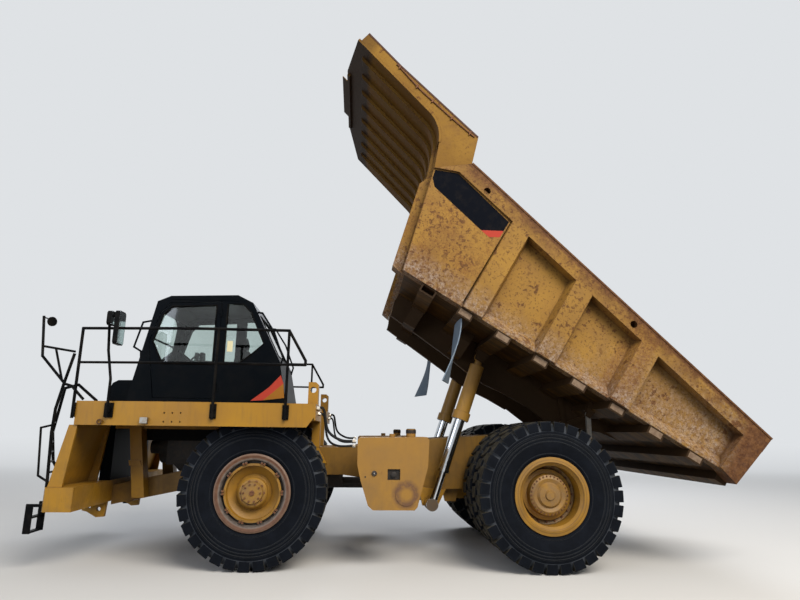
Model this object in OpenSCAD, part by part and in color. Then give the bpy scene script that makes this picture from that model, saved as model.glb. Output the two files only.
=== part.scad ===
// Rigid two axle off highway haul truck with its bed raised, in millimetres.
// +X is forward, +Y is the truck's left and Z = 0 is the ground under the tyres.

/* [Stance] */
// Distance between the front and rear axle centres
wheelbase = 4215; // [4100:5:4400]
// Place of the rear axle along the truck
rear_axle_x = -2038; // [-2200:1:-1800]
// Half the track of the front wheels
front_track_half = 1602; // [1590:1:1640]
// Half the track of the outer rear wheels
rear_outer_y = 1841; // [1830:1:1870]
// Half the track of the inner rear wheels
rear_inner_y = 1087; // [1080:1:1095]

/* [Tyres and rims] */
// Radius over the lugs of the standing tyre
tyre_r = 1040; // [1010:5:1060]
// Width of one tyre
tyre_w = 640; // [600:5:660]
// Depth of the lugs
lug_depth = 42; // [20:1:60]
// Number of lugs round one tyre
lug_count = 36; // [24:1:40]
// Radius of the rim where the bead sits
rim_seat_r = 445; // [430:1:455]
// Radius of the rim's outer flange
rim_flange_r = 535; // [520:1:545]
// Radius of the front hub
front_hub_r = 205; // [180:1:230]
// Radius of the rear planetary cover
planet_r = 300; // [260:1:330]

/* [Steering] */
// Half the distance between the kingpins
kingpin_y = 985; // [960:5:1000]
// Radius of the front strut's housing
strut_r = 150; // [120:1:165]

/* [Frame] */
// Outer face of each frame rail
rail_out_y = 640; // [600:5:650]
// Thickness of each frame rail
rail_t = 150; // [100:5:200]
// Height of the frame over the front axle
rail_top_z = 1645; // [1600:5:1660]

/* [Platforms and cab] */
// Height of the deck
deck_z = 2275; // [2250:5:2300]
// Thickness of the deck slab
deck_t = 120; // [80:5:150]
// Depth of the deck's outer skirt
skirt_h = 330; // [250:5:340]
// Half the width over the platforms
deck_half_w = 2150; // [2100:5:2200]
// Outer side of the cab
cab_left_y = 1350; // [1300:5:1400]
// Inner side of the cab
cab_right_y = -300; // [-400:5:-200]
// Thickness of the cab's walls
cab_wall = 60; // [50:1:80]
// Gap round the cab door
door_gap = 8; // [6:1:12]
// Height of the handrail above the deck
rail_h = 1030; // [950:10:1100]
// Radius of the handrail tube
tube_r = 21; // [15:1:26]

/* [Bed] */
// Slope of the bed's floor when it is raised
bed_tilt = 31.4; // [30:0.1:33]
// Half the width over the bed's ribs
bed_half_w = 2238; // [2200:1:2260]
// Half the width inside the bed
bed_inside_y = 1975; // [1940:5:2000]
// Thickness of the floor plate
floor_t = 40; // [30:1:60]
// Depth of the floor beams
beam_h = 130; // [80:1:140]
// Width of the floor beams
beam_w = 250; // [180:5:280]
// Thickness of the canopy plate
canopy_t = 40; // [25:1:60]

/* [Hoist] */
// Half the distance between the hoist cylinders
hoist_y = 900; // [880:5:920]
// Radius of the hoist's barrel
barrel_r = 118; // [100:1:125]
// Radius of the hoist's first stage
stage_r = 88; // [80:1:95]
// Radius of the hoist's rod
rod_r = 62; // [50:1:70]

/* [Hidden] */
$fn = 48;

yellow = "#d9a32a";
worn_yellow = "#b9893a";
black = "#1d1e20";
rubber = "#2b2e33";
steel = "#8d8f92";
chrome = "#c9ccd0";
glass = "#5f7a86";
brown = "#6b4a38";

axle_z = tyre_r;
front_x = wheelbase;

// Front ends of the frame's rails, and the room under the deck's slab
frame_front_x = 6600;
under_deck_z = deck_z - deck_t;
// The hood between the two halves of the deck
hood_half_w = 800;
hood_foot_z = 1900;
hood_rear_x = front_x + 85;
// The deck's plan: its ends, its two folds and how far it narrows to the front
deck_front_x = 6700;
deck_fold_x = [5750, 5120];
deck_fold_y = deck_half_w - 50;
deck_rear_x = 3360;
deck_front_y = deck_half_w - 150;
// Its outer edge from the front to the rear, moved in by t
function deck_side(t) = [[deck_front_x, deck_front_y - t], [deck_fold_x.x, deck_fold_y - t],
                         [deck_fold_x.y, deck_half_w - t], [deck_rear_x, deck_half_w - t]];
// Where that edge lies at a place along the deck
function deck_edge(x) = lookup(x, [for (p = deck_side(0)) [p.x, p.y]]);

// Points where the bed and the hoists are carried, from the rear axle: x and z
pivot_pt = [-700, 2020];
eye_pt = [1555, 780];
bed_origin = [-2660, 1225];
pivot_pin_r = 58;
link_x = 1200;
link_z = 880;
link_half_w = 455;
// Small gap between pieces that are seated on each other
seat = 0.3;
// Half the width of each hoist's eye and its gap to the frame's boss
eye_half = 70;
barrel_eye_half = 75;
eye_gap = 5;
// The hoist's upper pin in the bed's own frame: along the floor and above it
barrel_pin_uw = [3900, -140];

// Places everything that is drawn from the rear axle
module at_rear() translate([rear_axle_x, 0, 0]) children();
// Draws a left hand piece and its right hand twin
module both() { children(); mirror([0, 1, 0]) children(); }
// Points in x and z, set at one place across the truck
function across(points, y) = [for (p = points) [p.x, y, p.y]];
// A plate cut to an outline in x and z, between two places across the truck
module side_plate(points, y0, y1)
    translate([0, y1, 0]) rotate([90, 0, 0]) linear_extrude(y1 - y0) polygon(points);
// A bar between two points, turned about its own line by spin
module bar(p, q, r, spin = 0, sides = 10) {
    v = q - p;
    length = norm(v);
    translate(p) rotate([0, acos(v.z / length), atan2(v.y, v.x)]) rotate(spin)
        cylinder(r = r, h = length, $fn = sides);
}
// A bent tube through a list of points, with its free ends cut square: its lengths reach into each
// other at the bends, and every second one is spun so that no two faces share a plane
module tube(points, r = tube_r)
    for (i = [1 : len(points) - 1]) {
        v = points[i] - points[i - 1];
        reach = v / norm(v) * r * 0.5;
        start = i > 1 ? points[i - 1] - reach : points[i - 1];
        end = i < len(points) - 1 ? points[i] + reach : points[i];
        bar(start, end, r, i % 2 * 18);
    }
// A disc or pin along y, centred on a point
module pin_y(x, z, y0, y1, r) translate([x, y1, z]) rotate([90, 0, 0]) cylinder(r = r, h = y1 - y0);
function reversed(list) = [for (i = [len(list) - 1 : -1 : 0]) list[i]];
// Raises what is drawn in the bed's own frame, with x along the floor from the tail
module raise_bed()
    translate([rear_axle_x + bed_origin.x, 0, bed_origin.y]) rotate([0, -bed_tilt, 0]) children();
function bed_point(uw) = [bed_origin.x + uw.x * cos(bed_tilt) - uw.y * sin(bed_tilt),
                          bed_origin.y + uw.x * sin(bed_tilt) + uw.y * cos(bed_tilt)];

// Side outline of a rail: front horn, rise over the axle, tower of the bed's pivot and lower edge
rail_lower = [[420, 1480], [760, 1010], [1400, 990], [3000, 1210], [5000, 1210], [5480, 965]];
rail_outline = concat([
    [frame_front_x, 735], [frame_front_x, 1030], [5560, 1250], [5080, 1600], [4700, rail_top_z],
    [3000, rail_top_z], [1500, 1800], [600, 1860], [-500, 1900], [-600, 1910], [-800, 1960], [-860, 1900],
    [-860, 1700], [-500, 1560]
], rail_lower);
function rail_under(x) = lookup(x, rail_lower);
// Tubes across the frame: x, z and radius
cross_tubes = [[6350, 900, 130], [3450, 1545, 90], [1400, 1500, 180], [-620, 1780, 110]];
// Columns under the rear edge of the deck, with the beams that reach out under it
column_x = deck_rear_x + 20;
column_d = 130;
cross_beam_h = 110;
module cross_beam(x, depth, y0, y1) translate([x, y0, under_deck_z - cross_beam_h])
    cube([depth, y1 - y0, cross_beam_h]);

module frame_rails() color(yellow) at_rear() {
    rail_in_y = rail_out_y - rail_t;
    difference() {
        union() {
            both() side_plate(rail_outline, rail_in_y, rail_out_y);
            both() pin_y(pivot_pt.x, pivot_pt.y, rail_in_y, rail_out_y, 110);
            for (c = cross_tubes) let (x = c[0], z = c[1], r = c[2])
                pin_y(x, z, -rail_out_y + 20, rail_out_y - 20, r);
        }
        pin_y(pivot_pt.x, pivot_pt.y, -rail_out_y - 160, rail_out_y + 160, pivot_pin_r + 1);
    }
    // Ears that hold the rear axle's link
    both() side_plate([[1050, 1060], [1350, 1060], [link_x + 90, link_z - 90], [link_x - 90, link_z - 90]],
                      link_half_w, link_half_w + 50);
}

// What the rails carry: struts, hoists, and the columns and beams under the cab and platforms
module frame_brackets() color(yellow) at_rear() both() {
    rail_in_y = rail_out_y - rail_t;
    rail_side_y = rail_out_y + seat;
    // Carrier of the front strut
    difference() {
        side_plate([[front_x - 175, 1640], [front_x + 185, 1640], [front_x + 345, 1300],
                    [front_x - 335, 1300]], rail_side_y, kingpin_y - 85);
        translate([front_x, kingpin_y, 1200]) cylinder(r = strut_r + seat, h = 600);
    }
    // Block under the rail with the stepped boss of the hoist's lower eye
    block = [for (x = [eye_pt.x - 255, rail_lower[2].x, eye_pt.x + 195]) [x, rail_under(x) - seat]];
    side_plate(concat(block, [[eye_pt.x + 125, eye_pt.y - 40], [eye_pt.x - 125, eye_pt.y - 40]]),
               rail_out_y - 60, rail_out_y + 40);
    pin_y(eye_pt.x, eye_pt.y, rail_out_y - 55, rail_out_y + 90, 100);
    pin_y(eye_pt.x, eye_pt.y, rail_out_y + 80, hoist_y - eye_half - eye_gap, 70);
    // Rear column on the rail with its flared foot
    translate([column_x, rail_in_y, rail_top_z + seat])
        cube([column_d, rail_t + 40, under_deck_z - rail_top_z - seat]);
    side_plate([[column_x + 5, under_deck_z - 10], [column_x + column_d - 5, under_deck_z - 10],
                [column_x + column_d - 5, rail_top_z - 20], [column_x + 320, rail_top_z - 260],
                [column_x - 130, rail_top_z - 260], [column_x + 5, rail_top_z - 20]],
               rail_side_y, rail_out_y + 30);
    cross_beam(column_x, 100, rail_out_y - 20, deck_half_w - 130);
    // Front column, notched round the hood, with its collar
    difference() {
        side_plate([[6210, under_deck_z], [6385, under_deck_z], [6215, 860], [6025, 860]],
                   rail_side_y, hood_half_w + 70);
        translate([6000, 0, hood_foot_z - seat]) cube([500, hood_half_w, 400]);
    }
    side_plate([[6140, 1420], [6310, 1420], [6295, 1340], [6110, 1340]], rail_side_y + 5, hood_half_w + 90);
    cross_beam(6230, 120, hood_half_w + 50, deck_front_y - 50);
}

bumper_x = 7000;
bumper_top = 1110;
bumper_h = 320;
bumper_wall = 60;
tow_plate_y = 700;
tow_plate_t = 60;
// Holes of each tow plate: x and z
tow_holes = [[6880, 720], [6730, 680]];
tow_hole_r = 32;
module front_bumper() color(yellow) at_rear() {
    // Box with open backs to its sides, and its ends bevelled in plan
    difference() {
        translate([0, 0, bumper_top - bumper_h]) linear_extrude(bumper_h)
            polygon([[frame_front_x, -deck_front_y], [bumper_x - 40, -deck_front_y],
                     [bumper_x, -deck_front_y + 60], [bumper_x, deck_front_y - 60],
                     [bumper_x - 40, deck_front_y], [frame_front_x, deck_front_y]]);
        both() translate([frame_front_x - 40, hood_half_w, bumper_top - bumper_h + bumper_wall])
            cube([bumper_x - bumper_wall - frame_front_x + 40, deck_front_y - bumper_wall - hood_half_w,
                  bumper_h - 2 * bumper_wall]);
        // Hole in each end plate
        both() pin_y(frame_front_x + 100, bumper_top - bumper_h / 2, deck_front_y - bumper_wall - 20,
                     deck_front_y + 20, 34);
    }
    // Plates with the holes for a tow shackle
    both() difference() {
        side_plate([[6640, 570], [6760, 560], [6900, 640], [6980, 660], [6980, 800], [6620, 800]],
                   tow_plate_y, tow_plate_y + tow_plate_t);
        for (h = tow_holes) pin_y(h.x, h.y, tow_plate_y - 10, tow_plate_y + tow_plate_t + 10, tow_hole_r);
    }
}

skirt_t = 40;
// Outer face of the slanted front panels: x and z at the foot and at the top
panel_foot = [bumper_x - 50, bumper_top];
panel_top = [deck_front_x + 70, deck_z - skirt_h - seat];
panel_slope = atan2(panel_foot.x - panel_top.x, panel_top.y - panel_foot.y);
panel_in_y = hood_half_w + 50;
panel_out_y = deck_front_y - 20;
panel_rib_t = 40;
module front_panels() color(yellow) at_rear() both() {
    skirt_foot = [deck_front_x - skirt_t, panel_top.y];
    // Plate with a lip folded back under the skirt
    side_plate([panel_foot + [0, seat], panel_top, skirt_foot, skirt_foot - [0, 30], panel_top - [70, 30],
                panel_foot + [-60, seat]], panel_in_y, panel_out_y);
    // Stiffening ribs behind it
    for (y = [panel_in_y, panel_out_y - panel_rib_t])
        side_plate([panel_foot + [-50, 1], panel_top - [60, 20], skirt_foot - [0, 20],
                    panel_foot + [-190, 1]], y, y + panel_rib_t);
}

// Boss and bolt holes of the skirt: x and z
skirt_boss = [6330, deck_z - 285];
skirt_holes = [[5450, 2120], [5335, 2120], [5220, 2120], [5450, 2000], [5335, 2000], [5220, 2000]];
lift_block_y = [1400, 1620];
module platforms() color(yellow) at_rear() both() {
    skirt_z = deck_z - skirt_h;
    translate([0, 0, under_deck_z]) linear_extrude(deck_t)
        polygon(concat([[deck_rear_x, hood_half_w], [deck_front_x, hood_half_w]], deck_side(0)));
    // Skirt, cut back over the tank
    difference() {
        translate([0, 0, skirt_z]) linear_extrude(skirt_h)
            polygon(concat(reversed(deck_side(skirt_t)), deck_side(0)));
        side_plate([[deck_rear_x - 10, skirt_z - 10], [deck_rear_x + 130, skirt_z - 10],
                    [deck_rear_x - 10, deck_z - 150]], deck_half_w - 100, deck_half_w + 10);
        for (h = skirt_holes) pin_y(h.x, h.y, deck_half_w - 110, deck_half_w + 10, 12);
    }
    translate([deck_front_x - skirt_t, panel_in_y, skirt_z])
        cube([skirt_t, deck_front_y - panel_in_y, skirt_h]);
    translate([deck_rear_x, hood_half_w, deck_z - 230]) cube([20 - seat, deck_half_w - hood_half_w, 230]);
    pin_y(skirt_boss.x, skirt_boss.y, deck_edge(skirt_boss.x) - 20, deck_edge(skirt_boss.x) + 22, 34);
    // Lifting block on the rear edge
    difference() {
        side_plate([for (p = [[10, -5], [10, 310], [50, 345], [160, 345], [160, -5]])
                    [deck_rear_x + p.x, deck_z + p.y]], lift_block_y.x, lift_block_y.y);
        pin_y(deck_rear_x + 85, deck_z + 230, lift_block_y.x - 10, lift_block_y.y + 10, 45);
    }
}

cover_h = 270;
module hood() color(yellow) at_rear() {
    translate([hood_rear_x, -hood_half_w + seat, hood_foot_z])
        cube([frame_front_x - hood_rear_x, 2 * (hood_half_w - seat), deck_z - hood_foot_z]);
    // Raised cover beside the cab, bevelled over the radiator, with slats across it
    side_plate([[hood_rear_x, deck_z - 10], [hood_rear_x, deck_z + cover_h],
                [frame_front_x - 180, deck_z + cover_h], [frame_front_x, deck_z + 150],
                [frame_front_x, deck_z - 10]], -hood_half_w + seat, cab_right_y - 10);
    for (x = [hood_rear_x + 400 : 260 : frame_front_x - 600])
        translate([x, -hood_half_w + 60, deck_z + cover_h - 5]) cube([40, 370, 25]);
}

// Guard with slats ahead of the radiator
slat_count = 12;
slat_pitch = 80;
guard_half_w = 780;
guard_frame = 80;
guard_h = 1135;
module radiator_grille() color(black) at_rear() {
    foot = bumper_top + seat;
    inner = guard_half_w - guard_frame;
    difference() {
        translate([frame_front_x + seat, -guard_half_w, foot]) cube([170, 2 * guard_half_w, guard_h]);
        translate([frame_front_x + 100, -inner, foot + guard_frame + 5])
            cube([120, 2 * inner, guard_h - 2 * guard_frame]);
    }
    for (i = [0 : slat_count - 1]) translate([frame_front_x + 90, -inner - 5, foot + 130 + i * slat_pitch])
        rotate([0, 25, 0]) cube([60, 2 * inner + 10, 14]);
    for (y = [-250, 250]) translate([frame_front_x + 140, y - 20, foot + guard_frame])
        cube([28, 40, guard_h - 2 * guard_frame + 10]);
}

// Engine: block, heads, sump, two rocker covers and the fan with its shroud
engine_rear_x = front_x + 85;
engine_front_x = 5900;
crank_z = 1600;
module engine() color(steel) at_rear() {
    half = rail_out_y - rail_t - seat;
    side_plate([[engine_rear_x, 1330], [engine_rear_x, 1760], [engine_rear_x + 120, 1830],
                [engine_front_x, 1830], [engine_front_x, 1330]], -half + 120, half - 120);
    translate([4600, -half, 1420]) cube([1100, 2 * half, 300]);
    side_plate([[4500, 1340], [5800, 1340], [5700, 1230], [4700, 1230]], -300, 300);
    for (y = [-300, 140]) translate([4500, y, 1825]) cube([1300, 160, 65]);
    translate([engine_front_x - 10, 0, crank_z]) rotate([0, 90, 0]) cylinder(r = 260, h = 180);
    translate([engine_front_x + 160, 0, crank_z]) rotate([0, 90, 0]) cylinder(r = 110, h = 200);
}

cab_outline = [
    [6290, deck_z], [5960, 3870], [5760, 3960], [4720, 4000], [4475, 3880], [4010, 2960], [3870, deck_z]
];
// Middle of the cab's side, and the share of its outline that is hollow
cab_mid = [5100, 3140];
cab_hollow = [0.945, 0.92];
// Windows in the cab's left side: x and z
side_window_rear = [
    [4870, 3850], [4640, 3860], [4500, 3730], [4270, 3230], [4480, 3030], [4640, 2915], [4870, 2910]
];
door_outline = [[4960, 2360], [4960, 3885], [5760, 3850], [5905, 3680], [6035, 3225], [5900, 2360]];
door_window = [[5040, 2890], [5040, 3825], [5730, 3790], [5855, 3650], [5975, 3235], [5800, 2890]];

module both_cab_sides() {
    children();
    translate([0, cab_left_y + cab_right_y, 0]) mirror([0, 1, 0]) children();
}

module cab_shell() color(black) at_rear() {
    difference() {
        side_plate(cab_outline, cab_right_y, cab_left_y);
        side_plate([for (p = cab_outline) [cab_mid.x + (p.x - cab_mid.x) * cab_hollow.x,
                                           cab_mid.y + (p.y - cab_mid.y) * cab_hollow.y]],
                   cab_right_y + cab_wall, cab_left_y - cab_wall);
        side_plate(side_window_rear, cab_right_y - 10, cab_left_y + 10);
        side_plate(door_window, cab_right_y - 10, 0);
        side_plate(door_outline, 800, cab_left_y + 10);
        // Windscreen and rear window
        translate([5700, cab_right_y + 150, 2900]) cube([500, cab_left_y - cab_right_y - 300, 850]);
        translate([3900, cab_right_y + 200, 3060]) cube([600, cab_left_y - cab_right_y - 400, 640]);
    }
    hinge_half(0, -44);
    // Housing on the deck at the foot of the windscreen
    side_plate([[6200, deck_z + seat], [6590, deck_z + seat], [6610, 2500], [6570, 2590], [6490, 2635],
                [6190, 2640]], 760, 1180);
    // Grab loop on the front corner, and the roof's gutter
    tube(across([[5970, 3570], [6160, 3530], [6260, 3140], [6090, 3040]], cab_left_y - 30), 15);
    translate([4700, cab_left_y - 20, 3905]) cube([1040, 32, 26]);
    // Rails behind the roof
    both_cab_sides() tube(across([[4440, 3740], [4330, 3730], [4130, 3430], [3970, 3020], [4010, 2860]],
                                 cab_left_y - 60), 15);
}

hinge_x = 4960;
hinge_y = cab_left_y + 16;
hinge_r = 14;
hinge_h = 60;
// Heights of the door's hinges
hinge_z = [2480, 3650];
// One half of each door hinge, with its leaf to the rear or to the front
module hinge_half(z0, leaf_x) for (z = hinge_z) translate([hinge_x, 0, z + z0]) {
    translate([0, hinge_y, 0]) cylinder(r = hinge_r, h = hinge_h - seat);
    translate([leaf_x, cab_left_y - 10, 0]) cube([42, 22, hinge_h - seat]);
}

module cab_glass() color(glass) at_rear() {
    side_plate(side_window_rear, cab_left_y - 35, cab_left_y - 25);
    side_plate(side_window_rear, cab_right_y + 25, cab_right_y + 35);
    side_plate(door_window, cab_right_y + 25, cab_right_y + 35);
}

cab_floor_z = cab_mid.y + (deck_z - cab_mid.y) * cab_hollow.y + seat;
seat_y = 300;
seat_wide = 520;
// Centre of the steering wheel, its radius and its lean
wheel_pt = [5650, seat_y + seat_wide / 2, 3050];
wheel_r = 185;
wheel_lean = 40;
module cab_interior() color(black) at_rear() {
    // Driver's seat on its box
    translate([4850, seat_y + 100, cab_floor_z]) cube([360, seat_wide - 200, 2500 - cab_floor_z]);
    side_plate([[4740, 2440], [5300, 2460], [5320, 2580], [5260, 2620], [4900, 2590], [4790, 3220],
                [4690, 3240], [4640, 3180]], seat_y, seat_y + seat_wide);
    side_plate([[4740, 3200], [4780, 3210], [4760, 3420], [4690, 3430], [4650, 3300], [4670, 3230]],
               seat_y + 130, seat_y + seat_wide - 130);
    // Dash with the steering column and wheel
    side_plate([[5650, cab_floor_z], [5930, cab_floor_z], [5930, 2860], [5760, 2930], [5650, 2900]],
               150, 1050);
    bar(wheel_pt + [170, 0, -200], wheel_pt, 28);
    translate(wheel_pt) rotate([0, -wheel_lean, 0]) {
        rotate_extrude($fn = 32) translate([wheel_r, 0]) circle(r = 15, $fn = 16);
        for (a = [0, 120, 240]) rotate([0, 90, a]) cylinder(r = 11, h = wheel_r, $fn = 8);
    }
}

module cab_door() color(black) at_rear() {
    difference() {
        side_plate([for (p = door_outline) [p.x + (p.x < 5200 ? door_gap : -door_gap),
                                            p.y + (p.y < 3000 ? door_gap : p.y > 3500 ? -door_gap : 0)]],
                   cab_left_y - cab_wall, cab_left_y - 5);
        side_plate(door_window, cab_left_y - cab_wall - 10, cab_left_y + 10);
    }
    hinge_half(hinge_h, 9);
}

module door_glass() color(glass) at_rear() side_plate(door_window, cab_left_y - 35, cab_left_y - 25);

// Side outline of the tanks: x and z
tank_outline = [
    [1720, 1790], [1750, 1830], [2725, 1815], [2755, 1780], [2755, 1430], [2700, 1210], [2590, 880],
    [2520, 820], [1930, 820], [1890, 860], [1740, 1410]
];
tank_y = [1160, 1940];
// Caps on the tank: x, radius and height
tank_caps = [[1960, 72, 130], [2240, 45, 60]];
// Brackets' places along the tank, and their width
bracket_x = [1950, 2400];
bracket_w = 160;
module side_tanks() color(yellow) at_rear() both() {
    difference() {
        side_plate(tank_outline, tank_y.x, tank_y.y);
        // Square recess for the filler valve and a drilled port beside it
        translate([2140, tank_y.y - 45, 1230]) cube([180, 60, 150]);
        pin_y(2420, 1330, tank_y.y - 45, tank_y.y + 10, 20);
    }
    // Valve, sight glass ring, cover and filler caps
    pin_y(2230, 1305, tank_y.y - 50, tank_y.y - 5, 38);
    pin_y(2510, 1320, tank_y.y - 5, tank_y.y + 12, 34);
    pin_y(2050, 1030, tank_y.y - 5, tank_y.y + 10, 150);
    for (c = tank_caps) let (x = c[0], r = c[1], h = c[2]) translate([x, 1600, 1810]) cylinder(r = r, h = h);
    // Brackets to the frame, each with a web under it
    for (x = bracket_x) {
        side_plate([[x, 1500], [x + bracket_w, 1500], [x + bracket_w, 1350], [x, 1350]],
                   rail_out_y + seat, tank_y.x + 10);
        side_plate([[x + 60, 1510], [x + 100, 1510], [x + 100, 1340], [x + 60, 1180]],
                   rail_out_y + seat, tank_y.x + 10);
    }
}

// Ladder on each front corner: its outer stile stands nearer the panel than the inner one
ladder_y = [deck_half_w - 650, deck_half_w - 210];
ladder_foot = [bumper_x - tube_r - 2, bumper_top + seat];
outer_stile = [ladder_foot, ladder_foot + [0, 60], [7010, 1840], [7000, 2160], [6930, 2530], [6840, 2945]];
inner_stile = [ladder_foot, ladder_foot + [0, 60], [7148, 1430], [7209, 1840], [7189, 1975], [7118, 2476],
               [6930, 2530], [deck_front_x - 60, deck_z + tube_r + seat]];
// Where a stile lies at a height
function stile_x(points, z) = lookup(z, [for (p = points) [p.y, p.x]]);
rung_count = 6;
rung_pitch = 135;
rung_r = 15;
// Straps that carry the two lowest steps
strap_inset = 50;
strap_t = 22;
strap_foot_z = 500;
step_rise = 190;
module ladders() color(black) at_rear() both() {
    tube(across(outer_stile, ladder_y.y));
    tube(across(inner_stile, ladder_y.x));
    for (i = [0 : rung_count - 1]) let (z = bumper_top + 190 + i * rung_pitch)
        bar([stile_x(inner_stile, z), ladder_y.x, z], [stile_x(outer_stile, z), ladder_y.y, z], rung_r);
    // Bowed hand rail over the top step, with its cross bar and brace
    tube(across([[deck_front_x - 60, deck_z + tube_r + seat], [6820, 2480], [6920, 2510], [7280, 2900],
                 [7340, 3480]], ladder_y.y), tube_r - 2);
    tube(across([[7285, 3040], [6835, 2970]], ladder_y.y), tube_r - 4);
    tube(across([[7110, 3015], [6970, 2570]], ladder_y.y), tube_r - 5);
    // Grab loop beside the rungs
    tube(across([[7005, 1940], [7160, 1900], [7110, 1260], [6965, 1175]], ladder_y.y), rung_r);
    // Brackets on the bumper, with the hanging straps
    for (y = [ladder_y.x + strap_inset, ladder_y.y - strap_inset]) {
        translate([bumper_x + seat, y, strap_foot_z + 345]) cube([225, strap_t, 40]);
        translate([bumper_x + 135, y, strap_foot_z]) cube([92, strap_t, 370]);
    }
    for (i = [0, 1]) translate([bumper_x + 150, ladder_y.x + strap_inset + 10, strap_foot_z + i * step_rise])
        cube([70, ladder_y.y - ladder_y.x - 2 * strap_inset, 26]);
    // Small round mirror over the hand rail
    bar([7335, ladder_y.y, 3460], [7225, ladder_y.y, 3425], 9, 0, 8);
    translate([7215, ladder_y.y, 3400]) rotate([90, 0, 60]) cylinder(r = 68, h = 24, center = true);
}

// Rails stand outside the skirt, on posts clamped to its face
rail_out = tube_r + 22;
post_x = [4780, 3780];
rail_rear_x = 3530;
clamp_w = 90;
clamp_h = 200;
clamp_t = 14;
module clamp_plate(x, y) translate([x - clamp_w / 2, y, deck_z - 225]) {
    cube([clamp_w, clamp_t, clamp_h]);
    for (h = [20, 130]) translate([15, 0, h]) cube([60, 2 * tube_r, 40]);
}
module handrails() color(black) at_rear() both() {
    foot = deck_z - 240;
    top = deck_z + rail_h;
    mid = deck_z + 540;
    y = deck_half_w + rail_out;
    front = [deck_front_x + rail_out, deck_front_y - 10];
    fold = [deck_fold_x.y, y];
    tube([[front.x, front.y, foot], [front.x, front.y, top], [fold.x, fold.y, top], [post_x.y, y, top],
          [rail_rear_x, y, mid + 60], [rail_rear_x, y, mid], [post_x.y + 10, y, mid]]);
    tube([[front.x, front.y, mid], [fold.x, fold.y, mid], [rail_rear_x, y, mid]], tube_r - 3);
    for (x = post_x) {
        bar([x, y, foot], [x, y, top], tube_r - 1);
        clamp_plate(x, deck_half_w + seat);
    }
    translate([deck_front_x + seat, front.y - clamp_w / 2, foot + 15]) cube([clamp_t, clamp_w, clamp_h]);
    for (h = [35, 145]) translate([deck_front_x + seat, front.y - 30, foot + h]) cube([rail_out, 60, 40]);
}

// Mirror arm on the skirt with one tall and one small head
mirror_x = 6225;
// Heads: place along the truck, step outwards, width and height
mirror_heads = [[6110, 0, 240, 470], [6230, 40, 170, 200]];
mirror_top = 1235;
mirror_t = 60;
mirror_bevel = 30;
module mirror_head(w, h) rotate([90, 0, 90]) linear_extrude(mirror_t)
    polygon([[0, mirror_bevel], [mirror_bevel, 0], [w - mirror_bevel, 0], [w, mirror_bevel],
             [w, h - mirror_bevel], [w - mirror_bevel, h], [mirror_bevel, h], [0, h - mirror_bevel]]);
module mirrors() color(black) at_rear() both() {
    foot_y = deck_edge(mirror_x);
    arm_y = foot_y + rail_out + 32;
    translate([mirror_x - 60, deck_edge(mirror_x - 60) + seat, deck_z - 225]) cube([120, 18, 200]);
    translate([mirror_x - 30, foot_y + 20, deck_z - 150]) cube([60, rail_out + 12, 60]);
    tube([[mirror_x, arm_y, deck_z - 230], [mirror_x, arm_y, deck_z + 300], [6300, arm_y, deck_z + 700],
          [6330, arm_y, deck_z + 1080], [6250, arm_y + 60, deck_z + 1180],
          [6120, arm_y + 90, deck_z + 1190]], 19);
    for (head = mirror_heads) let (x = head[0], step = head[1], w = head[2], h = head[3])
        translate([x, arm_y + step, deck_z + mirror_top - h]) mirror_head(w, h);
}

// Lamps: their places across each slanted panel and up it
lamp_y = [1250, 1420];
lamp_up = 430;
module lamps() color(steel) at_rear() both() {
    for (y = lamp_y) translate([panel_foot.x, y, panel_foot.y + seat]) rotate([0, -panel_slope, 0])
        translate([seat, 0, lamp_up]) rotate([0, 90, 0]) cylinder(r = 75, h = 60);
    // Work lamp on the skirt
    translate([5660, deck_edge(5660) + seat, deck_z - 300]) cube([100, 55, 80]);
}

// Air cleaners on the right deck: their places from its edge, and their drums
cleaner_y = [450, 1000];
cleaner_x = [4550, 5190];
cleaner_r = 200;
cleaner_z = 230;
stack_x = 5060;
module air_cleaners() color(yellow) at_rear()
    for (y = cleaner_y) translate([0, y - deck_half_w, deck_z]) {
        translate([cleaner_x[0], 0, cleaner_z]) rotate([0, 90, 0])
            cylinder(r = cleaner_r, h = cleaner_x[1] - cleaner_x[0]);
        translate([cleaner_x[1] - 10, 0, cleaner_z]) rotate([0, 90, 0]) cylinder(r = cleaner_r - 30, h = 60);
        // Intake stack with its cap
        translate([stack_x, 0, cleaner_z + 70]) cylinder(r = 75, h = 260);
        translate([stack_x, 0, cleaner_z + 290]) cylinder(r = 120, h = 90);
        for (x = [cleaner_x[0] + 90, cleaner_x[1] - 190]) translate([x, -150, seat]) cube([60, 300, 120]);
    }

rear_strut = [-200, 380];
strut_foot_z = 1290;
module suspension_struts() color(yellow) at_rear() both() {
    translate([front_x, kingpin_y, 1405]) cylinder(r = strut_r, h = 620);
    translate([rear_strut.x, rear_strut.y, strut_foot_z + seat]) cylinder(r = 95, h = 420);
    pin_y(rear_strut.x, 1780, rear_strut.y - 60, rail_out_y - rail_t - seat, 60);
    translate([rear_strut.x, rear_strut.y, 1690]) cylinder(r = 50, h = 90);
}

module rear_axle() color(yellow) at_rear() {
    pin_y(0, axle_z, -1665, 1665, 240);
    translate([300, 0, axle_z]) rotate([0, 90, 0]) cylinder(r = 110, h = 120 - seat);
    translate([0, 0, axle_z]) sphere(r = 400);
    both() {
        // Arm to the link at the frame, and the strut's seat
        side_plate([[-250, 1100], [100, 1250], [link_x, link_z + 60], [link_x, link_z - 60], [0, 800]],
                   180, 300);
        translate([rear_strut.x - 90, rear_strut.y - 90, 1150]) cube([180, 170, strut_foot_z - 1150]);
    }
    pin_y(link_x, link_z, -link_half_w + seat, link_half_w - seat, 60);
}

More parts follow.
